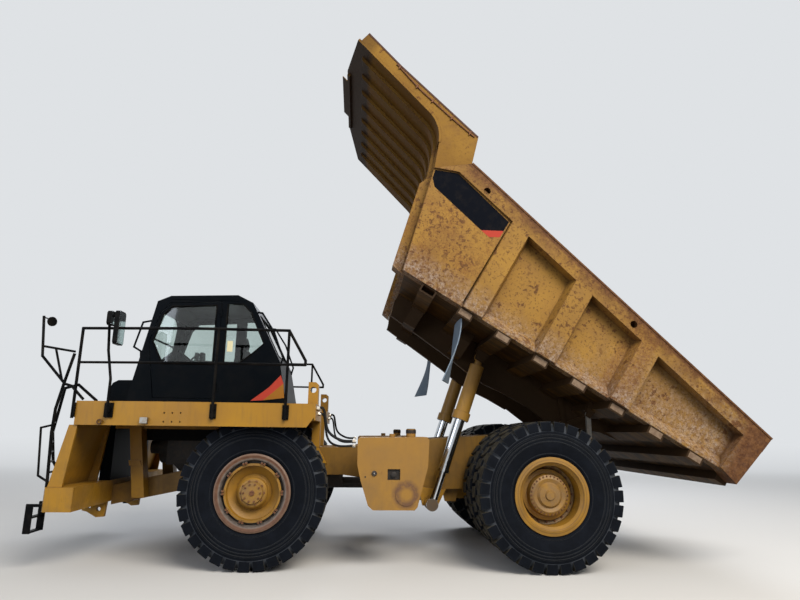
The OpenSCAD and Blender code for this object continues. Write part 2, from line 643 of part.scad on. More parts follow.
module drive_shaft() color(black) at_rear() {
    bar([420, 0, axle_z], [3300, 0, axle_z], 90, 0, 12);
    translate([3000, -300, 1000]) cube([1300 - seat, 600, 440]);
}

module knuckle() color(yellow) {
    translate([front_x, kingpin_y, 760]) cylinder(r = strut_r - 30, h = 640);
    pin_y(front_x, axle_z, kingpin_y, front_track_half + 53, 130);
    translate([front_x - 420, kingpin_y - 120, 790]) cube([420, 130, 110]);
}
module knuckle_left() at_rear() knuckle();
module knuckle_right() at_rear() mirror([0, 1, 0]) knuckle();

// A ring turned round the y axis at a wheel's centre: profile is radius and y
module turned(x, profile, sides = 64) translate([x, 0, axle_z]) rotate([-90, 0, 0])
    rotate_extrude($fn = sides) polygon(profile);
function shifted(profile, y) = [for (p = profile) [p[0], p[1] + y]];

clamp_count = 10;
module rim_front(y) {
    wall_r = rim_seat_r - 40;
    turned(front_x, shifted([
        // Barrel and flanges from the inner to the outer side
        [rim_seat_r - 20, -290], [rim_flange_r, -300], [rim_flange_r, -270], [rim_seat_r, -240],
        [rim_seat_r, 230], [rim_flange_r, 262], [rim_flange_r, 292], [rim_flange_r - 25, 302],
        [rim_seat_r + 5, 290],
        // Groove of the clamps
        [rim_seat_r - 12, 250], [rim_seat_r - 12, 190], [wall_r, 190], [wall_r - 4, 262],
        [wall_r - 35, 262], [wall_r - 45, 190],
        // Dished disc, hub and its cap
        [250, 120], [front_hub_r, 160], [front_hub_r, 250], [front_hub_r - 20, 270],
        [front_hub_r - 50, 275], [front_hub_r - 62, 312], [0, 318],
        // Inner side
        [0, 60], [135, 60], [380, 60], [rim_seat_r - 20, -100]], y));
    // Pairs of clamps that hold the rim on the wheel
    for (i = [0 : clamp_count - 1], k = [-2.6, 2.6]) translate([front_x, y + 180, axle_z])
        rotate([0, i * 360 / clamp_count + k, 0]) translate([rim_seat_r - 60, 0, -14]) cube([54, 94, 28]);
}
module rim_front_left() color(brown) at_rear() rim_front(front_track_half);
module rim_front_right() color(brown) at_rear() mirror([0, 1, 0]) rim_front(front_track_half);

module rim_rear() {
    wall_r = rim_seat_r - 30;
    turned(0, concat(
        // Inner flange, long barrel and outer flange
        shifted([[rim_seat_r - 20, -290], [rim_flange_r, -300], [rim_flange_r, -270],
                 [rim_seat_r, -240]], rear_inner_y),
        shifted([[rim_seat_r, 230], [rim_flange_r, 262], [rim_flange_r, 292], [rim_seat_r + 20, 300],
                 // Deep dish with the stepped cover of the planetary gears
                 [wall_r, 250], [wall_r, -10], [planet_r + 62, -30], [planet_r + 55, 30], [planet_r, 40],
                 [planet_r - 20, 150], [planet_r - 70, 175], [planet_r - 120, 160],
                 [planet_r - 150, 190], [70, 195], [60, 215], [0, 215], [0, -160],
                 [wall_r, -170]], rear_outer_y),
        [[wall_r, rear_inner_y - 200]]));
}
module rim_rear_left() color(yellow) at_rear() rim_rear();
module rim_rear_right() color(yellow) at_rear() mirror([0, 1, 0]) rim_rear();

lug_pitch = 360 / lug_count;
carcass_r = tyre_r - lug_depth;
tyre_sides = 20;
// Clearance between the tyre's beads and the rim
bead = 0.3;
// Half the width of the lugs' ring, the radius of the gaps between them and its inner radius
lug_half_w = 285;
lug_foot_r = carcass_r - 30;
lug_root_r = carcass_r - 98;
// One lug: shares of its pitch and of its height
lug_shape = [[0, 0], [0.08, 1], [0.56, 1], [0.64, 0]];
// One tyre about the y axis: a bulged carcass with a ring of lugs across its tread
module tyre(x, y) {
    half = tyre_w / 2;
    turned(x, shifted([
        [rim_seat_r + bead, -236], [rim_flange_r + 10, -264], [rim_flange_r + 40, -300], [760, -half],
        [lug_root_r, -half + 20], [carcass_r, -250], [carcass_r, 250], [lug_root_r, half - 20], [760, half],
        [rim_flange_r + 40, 300], [rim_flange_r + 10, 256], [rim_seat_r + bead, 226]], y), tyre_sides);
    translate([x, y + lug_half_w, axle_z]) rotate([90, 0, 0]) linear_extrude(2 * lug_half_w)
        difference() {
            polygon([for (i = [0 : lug_count - 1]) for (k = lug_shape)
                let (a = (i + k[0]) * lug_pitch, r = lug_foot_r + k[1] * (tyre_r - lug_foot_r))
                [r * cos(a), r * sin(a)]]);
            circle(r = lug_root_r, $fn = tyre_sides);
        }
}
module tyre_front_left() color(rubber) at_rear() tyre(front_x, front_track_half);
module tyre_front_right() color(rubber) at_rear() mirror([0, 1, 0]) tyre(front_x, front_track_half);
module twin_tyres() { tyre(0, rear_outer_y); tyre(0, rear_inner_y); }
module tyres_rear_left() color(rubber) at_rear() twin_tyres();
module tyres_rear_right() color(rubber) at_rear() mirror([0, 1, 0]) twin_tyres();

// Height of the sill, the lower edge of the bed's sides, in the bed's own frame
sill_w = 90;
side_top_tail = 850;
side_top_front = 2120;
tail_u = -190;
wall_foot_u = 5650;
side_front_u = 5690;
// Gap between the bed's sides and the floor let in between them
floor_gap = 5;
// The rear pivot in the bed's own frame
pivot_uw = [(pivot_pt.x - bed_origin.x) * cos(bed_tilt) + (pivot_pt.y - bed_origin.y) * sin(bed_tilt),
            (pivot_pt.y - bed_origin.y) * cos(bed_tilt) - (pivot_pt.x - bed_origin.x) * sin(bed_tilt)];
hinge_gap = 8;
// Floor beams: box sections with open ends
beam_pitch = 650;
beam_count = 8;
beam_wall = 22;
beam_set_in = 60;
// Long beams outside the frame's rails: their lower edge sweeps from the front knee to the pivot
under_y = rail_out_y + hinge_gap;
under_t = 50;
under_curve = [
    [5560, -300], [4700, -360], [4270, -390], [3940, -430], [3600, -445], [3200, -400], [2800, -385]
];
under_edge = concat([[wall_foot_u - 10, -60]], under_curve,
                    [for (a = [-50 : -20 : -170]) pivot_uw + 135 * [cos(a), sin(a)]],
                    [[1850, -230], [1500, -90], [1150, -40]]);
flange_t = 22;
// Deeper boxes ahead of the hoists' upper pins: their places along the floor and their left half
deep_box_u = [4180, 5090];
deep_box_w = 220;
deep_box_half = [[1090, sill_w + 3], [1090, -70], [960, -330], [under_y + 15, -350], [under_y + 15, -150]];
clevis_t = 22;
module bed_floor() color(worn_yellow) raise_bed() {
    inside = bed_inside_y - floor_gap;
    translate([-20, -inside, sill_w]) cube([wall_foot_u + 20 - seat, 2 * inside, floor_t]);
    // Cross beams: their ends show below the sill, and they are let into the floor between the sides
    for (i = [1 : beam_count]) translate([beam_pitch * i - 120, 0, 0]) {
        difference() {
            translate([0, -bed_half_w + beam_set_in, sill_w - beam_h])
                cube([beam_w, 2 * (bed_half_w - beam_set_in), beam_h - seat]);
            both() translate([beam_wall + 3, bed_half_w - 260, sill_w - beam_h + beam_wall])
                cube([beam_w - 2 * beam_wall - 6, 260, beam_h - 2 * beam_wall]);
        }
        translate([0, -inside, sill_w - 20]) cube([beam_w, 2 * inside, 25]);
    }
    // Tail beam
    translate([-20, -inside, sill_w - beam_h]) cube([180, 2 * inside, beam_h + 5]);
    for (u = deep_box_u) translate([u, 0, 0]) rotate([90, 0, 90]) linear_extrude(deep_box_w)
        polygon(concat(deep_box_half, reversed([for (p = deep_box_half) [-p.x, p.y]])));
    both() {
        side_plate(concat([[1150, sill_w + 5], [wall_foot_u - 10, sill_w + 5]], under_edge),
                   under_y, under_y + under_t);
        // Flange along the beam's lower edge
        side_plate(concat([for (p = under_curve) p + [0, 8]],
                          [for (p = reversed(under_curve)) p + [0, 8 - flange_t]]),
                   under_y + 5, under_y + 100);
        // Gussets beside the pivot, with the pins
        for (lean = [-330, 330])
            side_plate([[pivot_uw.x + lean - 60, sill_w + 4], [pivot_uw.x + lean + 60, sill_w + 4],
                        [pivot_uw.x + 45, pivot_uw.y + 20], [pivot_uw.x - 45, pivot_uw.y + 20]],
                       under_y + under_t - 5, under_y + 90);
        pin_y(pivot_uw.x, pivot_uw.y, under_y + 10, under_y + 105, 96);
        pin_y(pivot_uw.x, pivot_uw.y, rail_out_y - rail_t, under_y + 20, pivot_pin_r);
    }
    // Ears that carry the rock ejectors
    both() {
        for (y = [ejector_y - 55, ejector_y + 35])
            side_plate([for (p = [[-90, sill_w - 10], [90, sill_w - 10], [40, ejector_uw.y - 45],
                                  [-40, ejector_uw.y - 45]]) [ejector_uw.x + p.x, p.y]], y, y + 20);
        pin_y(ejector_uw.x, ejector_uw.y, ejector_y - 40, ejector_y + 40, 20);
    }
    // Clevis plates that carry the hoists
    clevis_in = barrel_eye_half + hinge_gap;
    both() {
        for (y = [hoist_y - clevis_in - clevis_t, hoist_y + clevis_in])
            side_plate([for (p = [[-150, sill_w + 5], [150, sill_w + 5], [75, -220], [-75, -220]])
                        [barrel_pin_uw.x + p.x, p.y]], y, y + clevis_t);
        pin_y(barrel_pin_uw.x, barrel_pin_uw.y, hoist_y - clevis_in - 5, hoist_y + clevis_in + 5, 44);
    }
}

rail_drop = 240;
// Ribs on each side: their places along the floor at the foot and at the top rail
ribs = [[4480, 4515], [3225, 3235], [1975, 1955]];
rib_w = 320;
rib_foot_w = 440;
lift_holes = [[5260, 1870], [2330, 1260]];
// Front corner of the sides, where the wall leans on them
side_corner = [6150, 1750];
side_t = 60;
angle_t = 26;
function rail_line(u) =
    side_top_tail + (side_top_front - side_top_tail) * (u - tail_u) / (side_front_u - tail_u);
module bed_side() raise_bed() {
    skin_y = bed_inside_y + side_t;
    top_front = [side_front_u, side_top_front + 10];
    // Skin
    side_plate([[0, 0], [150, sill_w], [side_front_u, sill_w], side_corner, top_front,
                [tail_u, side_top_tail]], bed_inside_y, skin_y);
    // Top rail with its lifting holes
    difference() {
        side_plate([[tail_u, side_top_tail], [tail_u + 50, side_top_tail - rail_drop],
                    [5790, rail_line(5790) - rail_drop], side_corner, top_front], bed_inside_y, bed_half_w);
        for (h = lift_holes) pin_y(h.x, h.y, bed_half_w - 150, bed_half_w + 10, 55);
    }
    // Angle that protects the rail's top edge
    side_plate([[tail_u, side_top_tail - 2], top_front - [0, 2], top_front + [-4, angle_t - 2],
                [tail_u - 6, side_top_tail - 2 + angle_t]], bed_inside_y - 5, bed_half_w + 10);
    // Sill with its sloped dust strip
    translate([0, skin_y - 10, sill_w]) rotate([90, 0, 90]) linear_extrude(side_front_u)
        polygon([[0, 0], [bed_half_w - skin_y - 50, 0], [bed_half_w - skin_y - 50, 40], [0, 190]]);
    // Panel ahead of the first rib
    side_plate([[4680, sill_w], [side_front_u, sill_w], side_corner, [5700, 1990], [4700, 1720]],
               bed_inside_y, bed_half_w - 40);
    // Ribs of pressed plate with sloped flanks
    for (r = ribs) let (foot_u = r[0], head_u = r[1], rise = rail_line(head_u) - rail_drop - sill_w)
        translate([foot_u, 0, sill_w + 6]) rotate([0, atan2(head_u - foot_u, rise), 0])
            linear_extrude(rise + 60)
                polygon([[-rib_foot_w / 2, skin_y - 30], [-rib_w / 2, bed_half_w],
                         [rib_w / 2, bed_half_w], [rib_foot_w / 2, skin_y - 30]]);
    // Tail post
    side_plate([[0, 0], [300, sill_w], [180, side_top_tail - 60], [tail_u, side_top_tail]],
               bed_inside_y, bed_half_w);
}
module bed_side_left() color(worn_yellow) bed_side();
module bed_side_right() color(worn_yellow) mirror([0, 1, 0]) bed_side();

// The front wall bends into the canopy: its face, seen from the cab, as a line with one wide bend
canopy_slope = 15.2;
wall_top = [6150, 1700];
canopy_foot = [6450, 2482];
wall_slope = atan2(canopy_foot.y - wall_top.y, canopy_foot.x - wall_top.x);
// Directions up the wall and off it towards the load, and the same for the canopy
wall_up = [cos(wall_slope), sin(wall_slope)];
wall_off = [-sin(wall_slope), cos(wall_slope)];
canopy_up = [cos(canopy_slope), sin(canopy_slope)];
canopy_off = [-sin(canopy_slope), cos(canopy_slope)];
bend_r = 600;
bend_steps = 8;
bend_start = canopy_foot - bend_r * tan((wall_slope - canopy_slope) / 2) * wall_up;
bend_centre = bend_start - bend_r * wall_off;
// Points of the bend, moved off the face towards the load by t
function bend(t) = [for (i = [0 : bend_steps])
    let (a = 90 + wall_slope + i * (canopy_slope - wall_slope) / bend_steps)
    bend_centre + (bend_r + t) * [cos(a), sin(a)]];
// A point up the canopy from the fold, moved off the face by t
function canopy_point(s, t) = canopy_foot + s * canopy_up + t * canopy_off;
// Face of the wall and canopy at t, up to a length s
function sheet_face(s, t) = concat(bend(t), [canopy_point(s, t)]);
canopy_len = 2290;
canopy_half_w = bed_half_w - 78;
lip_len = 150;
lip_t = 12;
channel_count = 8;
channel_pitch = 500;
channel_w = 190;
channel_depth = 55;
module each_channel() for (i = [0 : channel_count - 1])
    translate([0, (i - (channel_count - 1) / 2) * channel_pitch, 0]) children();

module bed_front_wall() color(worn_yellow) raise_bed() {
    joint = bend_start - seat * wall_up;
    side_plate([[wall_foot_u, sill_w], [wall_foot_u + 60, sill_w], wall_top, joint,
                joint + canopy_t * wall_off, wall_top - [60, 0]],
               -bed_inside_y + seat, bed_inside_y - seat);
    // Channels that carry the canopy's ones down to the floor
    each_channel() side_plate([[5700, 200], [5790, 200], wall_top + [60, -10],
                               joint - channel_depth * wall_off, joint + 10 * wall_off,
                               wall_top - [10, 0]], -channel_w / 2, channel_w / 2);
    // Box posts at the wall's outer edges
    both() side_plate([[5715, sill_w], [5880, sill_w + 30], [6240, 1500], [6160, 1740]],
                      bed_inside_y - 260, bed_inside_y - seat);
}

module canopy() color(yellow) raise_bed() {
    difference() {
        side_plate(concat(sheet_face(canopy_len, 0), reversed(sheet_face(canopy_len, canopy_t))),
                   -canopy_half_w, canopy_half_w);
        // Corners cut off in plan
        both() translate([canopy_foot.x, 0, canopy_foot.y]) rotate([0, -canopy_slope, 0])
            translate([0, 0, -50]) linear_extrude(200)
                polygon([[canopy_len + 10, 950], [canopy_len - 290, canopy_half_w],
                         [canopy_len - 290, canopy_half_w + 140], [canopy_len + 10, canopy_half_w + 140]]);
    }
    // Pressed channels along the underside and round the bend
    each_channel() side_plate(concat(sheet_face(canopy_len - 440, 12), [canopy_point(canopy_len - 390, 0),
                                     canopy_point(canopy_len - 460, -channel_depth)],
                                     reversed(bend(-channel_depth))), -channel_w / 2, channel_w / 2);
    // Thin lip ahead of the front edge
    side_plate([canopy_point(canopy_len - 40, lip_t + 2), canopy_point(canopy_len + lip_len, lip_t + 2),
                canopy_point(canopy_len + lip_len, 2), canopy_point(canopy_len - 40, 2)], -640, 640);
    // Front edge bar
    side_plate([canopy_point(canopy_len - 100, -45), canopy_point(canopy_len - 40, -45),
                canopy_point(canopy_len - 40, 5), canopy_point(canopy_len - 100, 5)], -960, 960);
    // Spill boards that keep rock off the cab's sides
    both() side_plate(concat([[side_front_u, side_top_front + 8 + angle_t + 0.5], side_corner + [0, 0.5]],
                             bend(15), [canopy_point(canopy_len - 330, 15), [8300, 3230], [7540, 3020],
                                        [5850, 2640]]),
                      canopy_half_w - 60, canopy_half_w - 10);
}

flap_x = 1250;
flap_t = 25;
flap_top_z = 2640;
flap_y = [1500, 2100];
function beam_foot_z(x) = bed_origin.y + (x - bed_origin.x) * tan(bed_tilt)
    + (sill_w - beam_h - seat) / cos(bed_tilt);
module mud_flaps() color(rubber) at_rear() both()
    side_plate([[flap_x, flap_top_z], [flap_x + flap_t, flap_top_z],
                [flap_x + flap_t, beam_foot_z(flap_x + flap_t)], [flap_x, beam_foot_z(flap_x)]],
               flap_y.x, flap_y.y);

// Each rock ejector hangs between the twin tyres from a pin under the floor
ejector_uw = [2056, -115];
ejector_pt = bed_point(ejector_uw);
ejector_y = (rear_outer_y + rear_inner_y) / 2;
module rock_ejector() {
    difference() {
        union() {
            pin_y(ejector_pt.x, ejector_pt.y, ejector_y - 25, ejector_y + 25, 45);
            translate([ejector_pt.x - 35, ejector_y - 25, ejector_pt.y - 850]) cube([70, 50, 850]);
        }
        pin_y(ejector_pt.x, ejector_pt.y, ejector_y - 50, ejector_y + 50, 22);
    }
}
module rock_ejector_left() color(yellow) at_rear() rock_ejector();
module rock_ejector_right() color(yellow) at_rear() mirror([0, 1, 0]) rock_ejector();

barrel_pt = bed_point(barrel_pin_uw);
hoist_v = eye_pt - barrel_pt;
hoist_len = norm(hoist_v);
hoist_dir = atan2(-hoist_v.x, -hoist_v.y);
// Places a piece along the hoist, with z down from the upper pin
module along_hoist(side) translate([rear_axle_x + barrel_pt.x, side * hoist_y, barrel_pt.y])
    rotate([0, hoist_dir, 0]) mirror([0, 0, 1]) children();
barrel_len = 1085;
stage_end = 1960;
rod_top = 1850;
slide_gap = 0.5;
module hoist_barrel(side) along_hoist(side) {
    difference() {
        union() {
            translate([0, 0, 150]) cylinder(r = barrel_r, h = barrel_len - 150);
            translate([0, 0, 20]) cylinder(r = 60, h = 150);
            rotate([90, 0, 0]) cylinder(r = 80, h = 2 * barrel_eye_half, center = true);
            translate([0, 0, barrel_len - 130]) cylinder(r = barrel_r + 25, h = 130);
        }
        translate([0, 0, 180]) cylinder(r = stage_r + slide_gap, h = barrel_len);
        rotate([90, 0, 0]) cylinder(r = 46, h = 400, center = true);
    }
}
module hoist_barrel_left() color(yellow) hoist_barrel(1);
module hoist_barrel_right() color(yellow) hoist_barrel(-1);
module hoist_stage(side) along_hoist(side) difference() {
    union() {
        translate([0, 0, barrel_len - 60]) cylinder(r = stage_r, h = stage_end - barrel_len + 60);
        translate([0, 0, stage_end - 50]) cylinder(r = stage_r + 14, h = 50);
    }
    translate([0, 0, barrel_len - 70]) cylinder(r = rod_r + slide_gap, h = stage_end);
}
module hoist_stage_left() color(chrome) hoist_stage(1);
module hoist_stage_right() color(chrome) hoist_stage(-1);
module hoist_rod(side) along_hoist(side) {
    translate([0, 0, rod_top]) cylinder(r = rod_r, h = hoist_len - rod_top - 60);
    translate([0, 0, hoist_len]) rotate([90, 0, 0]) cylinder(r = 95, h = 2 * eye_half, center = true);
}
module hoist_rod_left() color(chrome) hoist_rod(1);
module hoist_rod_right() color(chrome) hoist_rod(-1);

frame_rails();
frame_brackets();
front_bumper();
front_panels();
platforms();
hood();
radiator_grille();
engine();
cab_shell();
cab_glass();
cab_interior();
cab_door();
door_glass();
side_tanks();
ladders();
handrails();
mirrors();
lamps();
air_cleaners();
suspension_struts();
rear_axle();
drive_shaft();
knuckle_left();
knuckle_right();
rim_front_left();
rim_front_right();
rim_rear_left();
rim_rear_right();
tyre_front_left();
tyre_front_right();
tyres_rear_left();
tyres_rear_right();
bed_floor();
bed_side_left();
bed_side_right();
bed_front_wall();
canopy();
mud_flaps();
rock_ejector_left();
rock_ejector_right();
hoist_barrel_left();
hoist_barrel_right();
hoist_stage_left();
hoist_stage_right();
hoist_rod_left();
hoist_rod_right();
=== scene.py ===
# %% [markdown]
# # A two axle haul truck with its bed raised
# The construction comes from a CAD model, so every plate, tube and pin is already in its place.
# This lesson gives those solids their real finishes: sprayed enamel that has faded and chipped,
# enamel that rock has scoured, dusty rubber, chrome, and toughened glass. It then adds what is too
# fine for the CAD model, such as tyre treads, bolts, hoses and seals.

# %% Load the frame
import math

import bpy
from mathutils import Matrix, Vector


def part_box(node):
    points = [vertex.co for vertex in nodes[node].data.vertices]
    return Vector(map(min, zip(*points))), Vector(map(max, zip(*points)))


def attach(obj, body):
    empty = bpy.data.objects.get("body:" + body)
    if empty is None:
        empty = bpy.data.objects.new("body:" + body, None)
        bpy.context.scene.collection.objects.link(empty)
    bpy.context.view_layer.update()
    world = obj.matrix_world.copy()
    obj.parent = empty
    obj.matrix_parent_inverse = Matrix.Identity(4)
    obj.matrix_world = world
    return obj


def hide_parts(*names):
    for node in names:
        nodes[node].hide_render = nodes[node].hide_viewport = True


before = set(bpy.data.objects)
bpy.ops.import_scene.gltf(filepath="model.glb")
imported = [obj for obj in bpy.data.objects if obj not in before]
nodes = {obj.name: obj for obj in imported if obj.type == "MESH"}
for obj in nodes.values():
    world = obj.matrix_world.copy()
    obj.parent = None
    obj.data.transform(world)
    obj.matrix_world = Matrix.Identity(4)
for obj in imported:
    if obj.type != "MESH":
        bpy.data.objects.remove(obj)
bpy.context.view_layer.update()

# %% [markdown]
# ## Measures
# The places of all the added pieces follow from the wheels and from the bed's slope. The rear axle is
# the middle of the rear tyres' box, and the bed has a frame of its own: u runs up the floor from the
# tail, y is the truck's left, and w stands square to the floor.

# %% Measures from the frame
def middle(name):
    low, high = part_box(name)
    return (low + high) / 2


SIDES = ((1, "left"), (-1, "right"))
rear_axle = Vector((middle("tyres_rear_left").x, 0.0, middle("tyres_rear_left").z))
front_axle = Vector((middle("tyre_front_left").x, 0.0, rear_axle.z))
front_tyre_y = 1.602
rear_tyre_ys = (1.841, 1.087)
bed_slope = math.radians(31.4)
bed_frame = Matrix.Translation((rear_axle.x - 2.660, 0, 1.225)) @ Matrix.Rotation(-bed_slope, 4, "Y")
bed_origin = bed_frame.translation
bed_along = bed_frame.to_3x3() @ Vector((1, 0, 0))
bed_up = bed_frame.to_3x3() @ Vector((0, 0, 1))
deck_z = 2.275
print("wheelbase", round(front_axle.x - rear_axle.x, 3), "m")


def truck(x, y, z):
    """A point of the chassis, with x measured from the rear axle."""
    return Vector((rear_axle.x + x, y, z))


def bed(u, y, w):
    """A point of the bed in its own frame."""
    return bed_frame @ Vector((u, y, w))


# %% [markdown]
# ## Small tools
# Colours are written as the hex values that a screen shows, and one function turns them to the linear
# values that the shader needs. One function adds a shader node with its settings and links. The other
# tools speak of the finish: patches of a real size in millimetres, masks that grow between two
# measures, and paint that is laid over paint where the masks say so.

# %% Small tools
def linear(code):
    channels = [int(code[i:i + 2], 16) / 255 for i in (1, 3, 5)]
    return [c / 12.92 if c <= 0.04045 else ((c + 0.055) / 1.055) ** 2.4 for c in channels] + [1.0]


def add(tree, kind, inputs=None, **settings):
    """Adds a node, sets its values and links the sockets it gets."""
    made = tree.nodes.new(kind)
    for key, value in settings.items():
        setattr(made, key, value)
    for key, value in (inputs or {}).items():
        if isinstance(value, bpy.types.NodeSocket):
            tree.links.new(value, made.inputs[key])
        else:
            made.inputs[key].default_value = value
    return made


def start_material(name, roughness, **sockets):
    """A material with one Principled shader, its tree, the shader and the object's coordinates."""
    material = bpy.data.materials.new(name)
    material.use_nodes = True
    tree = material.node_tree
    shader = tree.nodes["Principled BSDF"]
    shader.inputs["Roughness"].default_value = roughness
    for key, value in sockets.items():
        shader.inputs[key.replace("_", " ")].default_value = value
    place = add(tree, "ShaderNodeTexCoord").outputs["Object"]
    return material, tree, shader, place


def where_all(tree, mask, *others):
    """The product of masks and shares, which is 1 only where all of them are 1."""
    for other in others:
        mask = add(tree, "ShaderNodeMath", {0: mask, 1: other}, operation="MULTIPLY").outputs[0]
    return mask


def where_any(tree, mask, *others):
    """The largest of several masks."""
    for other in others:
        mask = add(tree, "ShaderNodeMath", {0: mask, 1: other}, operation="MAXIMUM").outputs[0]
    return mask


def between(tree, value, none_at, full_at):
    """A mask that grows from 0 to 1 as a value goes from one measure to another."""
    limits = {"Value": value, "From Min": none_at, "From Max": full_at}
    return add(tree, "ShaderNodeMapRange", limits).outputs["Result"]


def cloudy(tree, place, size_mm, detail, roughness):
    """A soft pattern about 0.5, whose clouds have a real size."""
    settings = {"Vector": place, "Scale": 1000 / size_mm, "Detail": detail, "Roughness": roughness}
    return add(tree, "ShaderNodeTexNoise", settings).outputs["Fac"]


def patches(tree, place, size_mm, none_at, full_at, detail=4.0, roughness=0.55):
    """A mask of patches: the clouds, cut off between two of their levels."""
    return between(tree, cloudy(tree, place, size_mm, detail, roughness), none_at, full_at)


def paint(tree, below, above, *masks):
    """Lays one colour over another where all the masks are 1. A number thins it evenly."""
    colours = [linear(c) if isinstance(c, str) else c for c in (below, above)]
    share = where_all(tree, *masks)
    return add(tree, "ShaderNodeMix", {0: share, 6: colours[0], 7: colours[1]}, data_type="RGBA").outputs[2]


def uneven(tree, shader, place, size_mm, depth_mm, strength, detail=3.0, roughness=0.55):
    """Makes a surface gently uneven, with dents of a real size and depth."""
    dents = cloudy(tree, place, size_mm, detail, roughness)
    made = add(tree, "ShaderNodeBump", {"Height": dents, "Distance": depth_mm / 1000, "Strength": strength})
    tree.links.new(made.outputs["Normal"], shader.inputs["Normal"])


def along(tree, place, origin, direction):
    """Distance in metres from an origin along a direction."""
    reach = add(tree, "ShaderNodeVectorMath", {0: place, 1: tuple(direction)},
                operation="DOT_PRODUCT").outputs["Value"]
    start = Vector(origin).dot(Vector(direction))
    return add(tree, "ShaderNodeMath", {0: reach, 1: start}, operation="SUBTRACT").outputs[0]


def stretched(tree, place, shares):
    """Coordinates squeezed along some axes, so that a pattern runs out into streaks there."""
    return add(tree, "ShaderNodeVectorMath", {0: place, 1: shares}, operation="MULTIPLY").outputs[0]


def from_axle(tree, place, centre):
    """Distance from the line that runs through a centre across the truck."""
    arm = add(tree, "ShaderNodeVectorMath", {0: place, 1: tuple(centre)}, operation="SUBTRACT").outputs[0]
    flat = stretched(tree, arm, (1, 0, 1))
    return add(tree, "ShaderNodeVectorMath", {0: flat}, operation="LENGTH").outputs["Value"]


def facing(tree, direction):
    """How far the surface faces a direction, from -1 to 1."""
    normal = add(tree, "ShaderNodeNewGeometry").outputs["Normal"]
    return add(tree, "ShaderNodeVectorMath", {0: normal, 1: tuple(direction)},
               operation="DOT_PRODUCT").outputs["Value"]


def corners(tree, reach_m):
    """1 in tight inner corners, where dirt gathers and shade falls, and 0 in the open; the darkening it
    drives is dirt and painted shade.
    """
    open_share = add(tree, "ShaderNodeAmbientOcclusion", {"Distance": reach_m}, samples=4).outputs["AO"]
    return between(tree, open_share, 0.78, 0.30)


def edge_mask(tree, radius_mm):
    """1 along outer edges: there the true normal differs from a rounded one."""
    rounded = add(tree, "ShaderNodeBevel", {"Radius": radius_mm / 1000}, samples=3).outputs["Normal"]
    flat = add(tree, "ShaderNodeNewGeometry").outputs["Normal"]
    likeness = add(tree, "ShaderNodeVectorMath", {0: rounded, 1: flat}, operation="DOT_PRODUCT")
    return between(tree, likeness.outputs["Value"], 0.995, 0.9)


# %% [markdown]
# ## Sprayed enamel on the chassis
# The chassis, deck and tanks are steel plate sprayed with a thick two pack enamel. Out of doors it
# chalks, so its colour drifts over an arm's length, and stones chip it along the edges down to primer
# and rust. To the eye that is a soft gloss with brown edges. The frame rails, low down between the
# wheels, are painted darker as shade from the deck above them, inner corners are darkened as dirt and
# painted shade, and each tank has a rusty ring at its lower corner.

# %% Sprayed enamel
def sprayed_enamel(name, fresh, chalked, dust, chips=0.6, rust_spot=None):
    clean_roughness, dust_adds = 0.45, 0.40
    material, tree, shader, place = start_material(name, clean_roughness, IOR=1.5, Specular_IOR_Level=0.35)
    colour = paint(tree, fresh, chalked, patches(tree, place, 900, 0.35, 0.65))
    # Rain draws faint streaks down the plates
    streaks = patches(tree, stretched(tree, place, (1.0, 1.0, 0.12)), 55, 0.52, 0.75)
    colour = paint(tree, colour, dust, streaks, 0.35)
    # Dust settles towards the wheels and lies in soft clouds
    height = add(tree, "ShaderNodeSeparateXYZ", {0: place}).outputs["Z"]
    low_down = between(tree, height, 2.3, 0.6)
    dusty = where_all(tree, low_down, patches(tree, place, 260, 0.42, 0.72, 6.0, 0.65), 0.75)
    colour = paint(tree, colour, dust, dusty)
    # Inner corners are darkened as dirt and painted shade
    colour = paint(tree, colour, "#4f3a22", corners(tree, 0.16), 0.65)
    if rust_spot is not None:
        reach = from_axle(tree, place, rust_spot)
        rusty = where_all(tree, between(tree, reach, 0.22, 0.15), between(tree, reach, 0.06, 0.12),
                          patches(tree, place, 120, 0.30, 0.50, 6.0, 0.7))
        colour = paint(tree, colour, "#5b4038", rusty, 0.8)
    # Stone chips gather along the edges, with a few specks elsewhere
    specks = where_all(tree, patches(tree, place, 34, 0.66, 0.71, 5.0, 0.7), 0.55)
    worn = patches(tree, place, 70, 0.50, 0.60, 6.0, 0.75)
    chipped = where_any(tree, specks, where_all(tree, edge_mask(tree, 14), worn))
    colour = paint(tree, colour, "#6b3f22", chipped, chips)
    tree.links.new(colour, shader.inputs["Base Color"])
    duller = where_all(tree, dusty, dust_adds)
    rough = add(tree, "ShaderNodeMath", {0: duller, 1: clean_roughness}, operation="ADD").outputs[0]
    tree.links.new(rough, shader.inputs["Roughness"])
    uneven(tree, shader, place, 420, 7.0, 0.5)
    return material


tank_ring = truck(2.05, 0, 1.03)
chassis_enamel = sprayed_enamel("sprayed_yellow_enamel", "#ad7f1b", "#9c7124", "#735a34")
# The frame rails' enamel is darker as painted shade under the deck
underdeck_shaded_enamel = sprayed_enamel("sprayed_rail_enamel_painted_shade", "#8a651c", "#745521", "#4a3821")
tank_enamel = sprayed_enamel("sprayed_tank_enamel", "#a97d2f", "#987238", "#7d623c", rust_spot=tank_ring)
hoist_enamel = sprayed_enamel("sprayed_hoist_enamel", "#b08638", "#936c30", "#6e543c", chips=0.9)
print("sprayed", chassis_enamel.name, underdeck_shaded_enamel.name, tank_enamel.name, hoist_enamel.name)
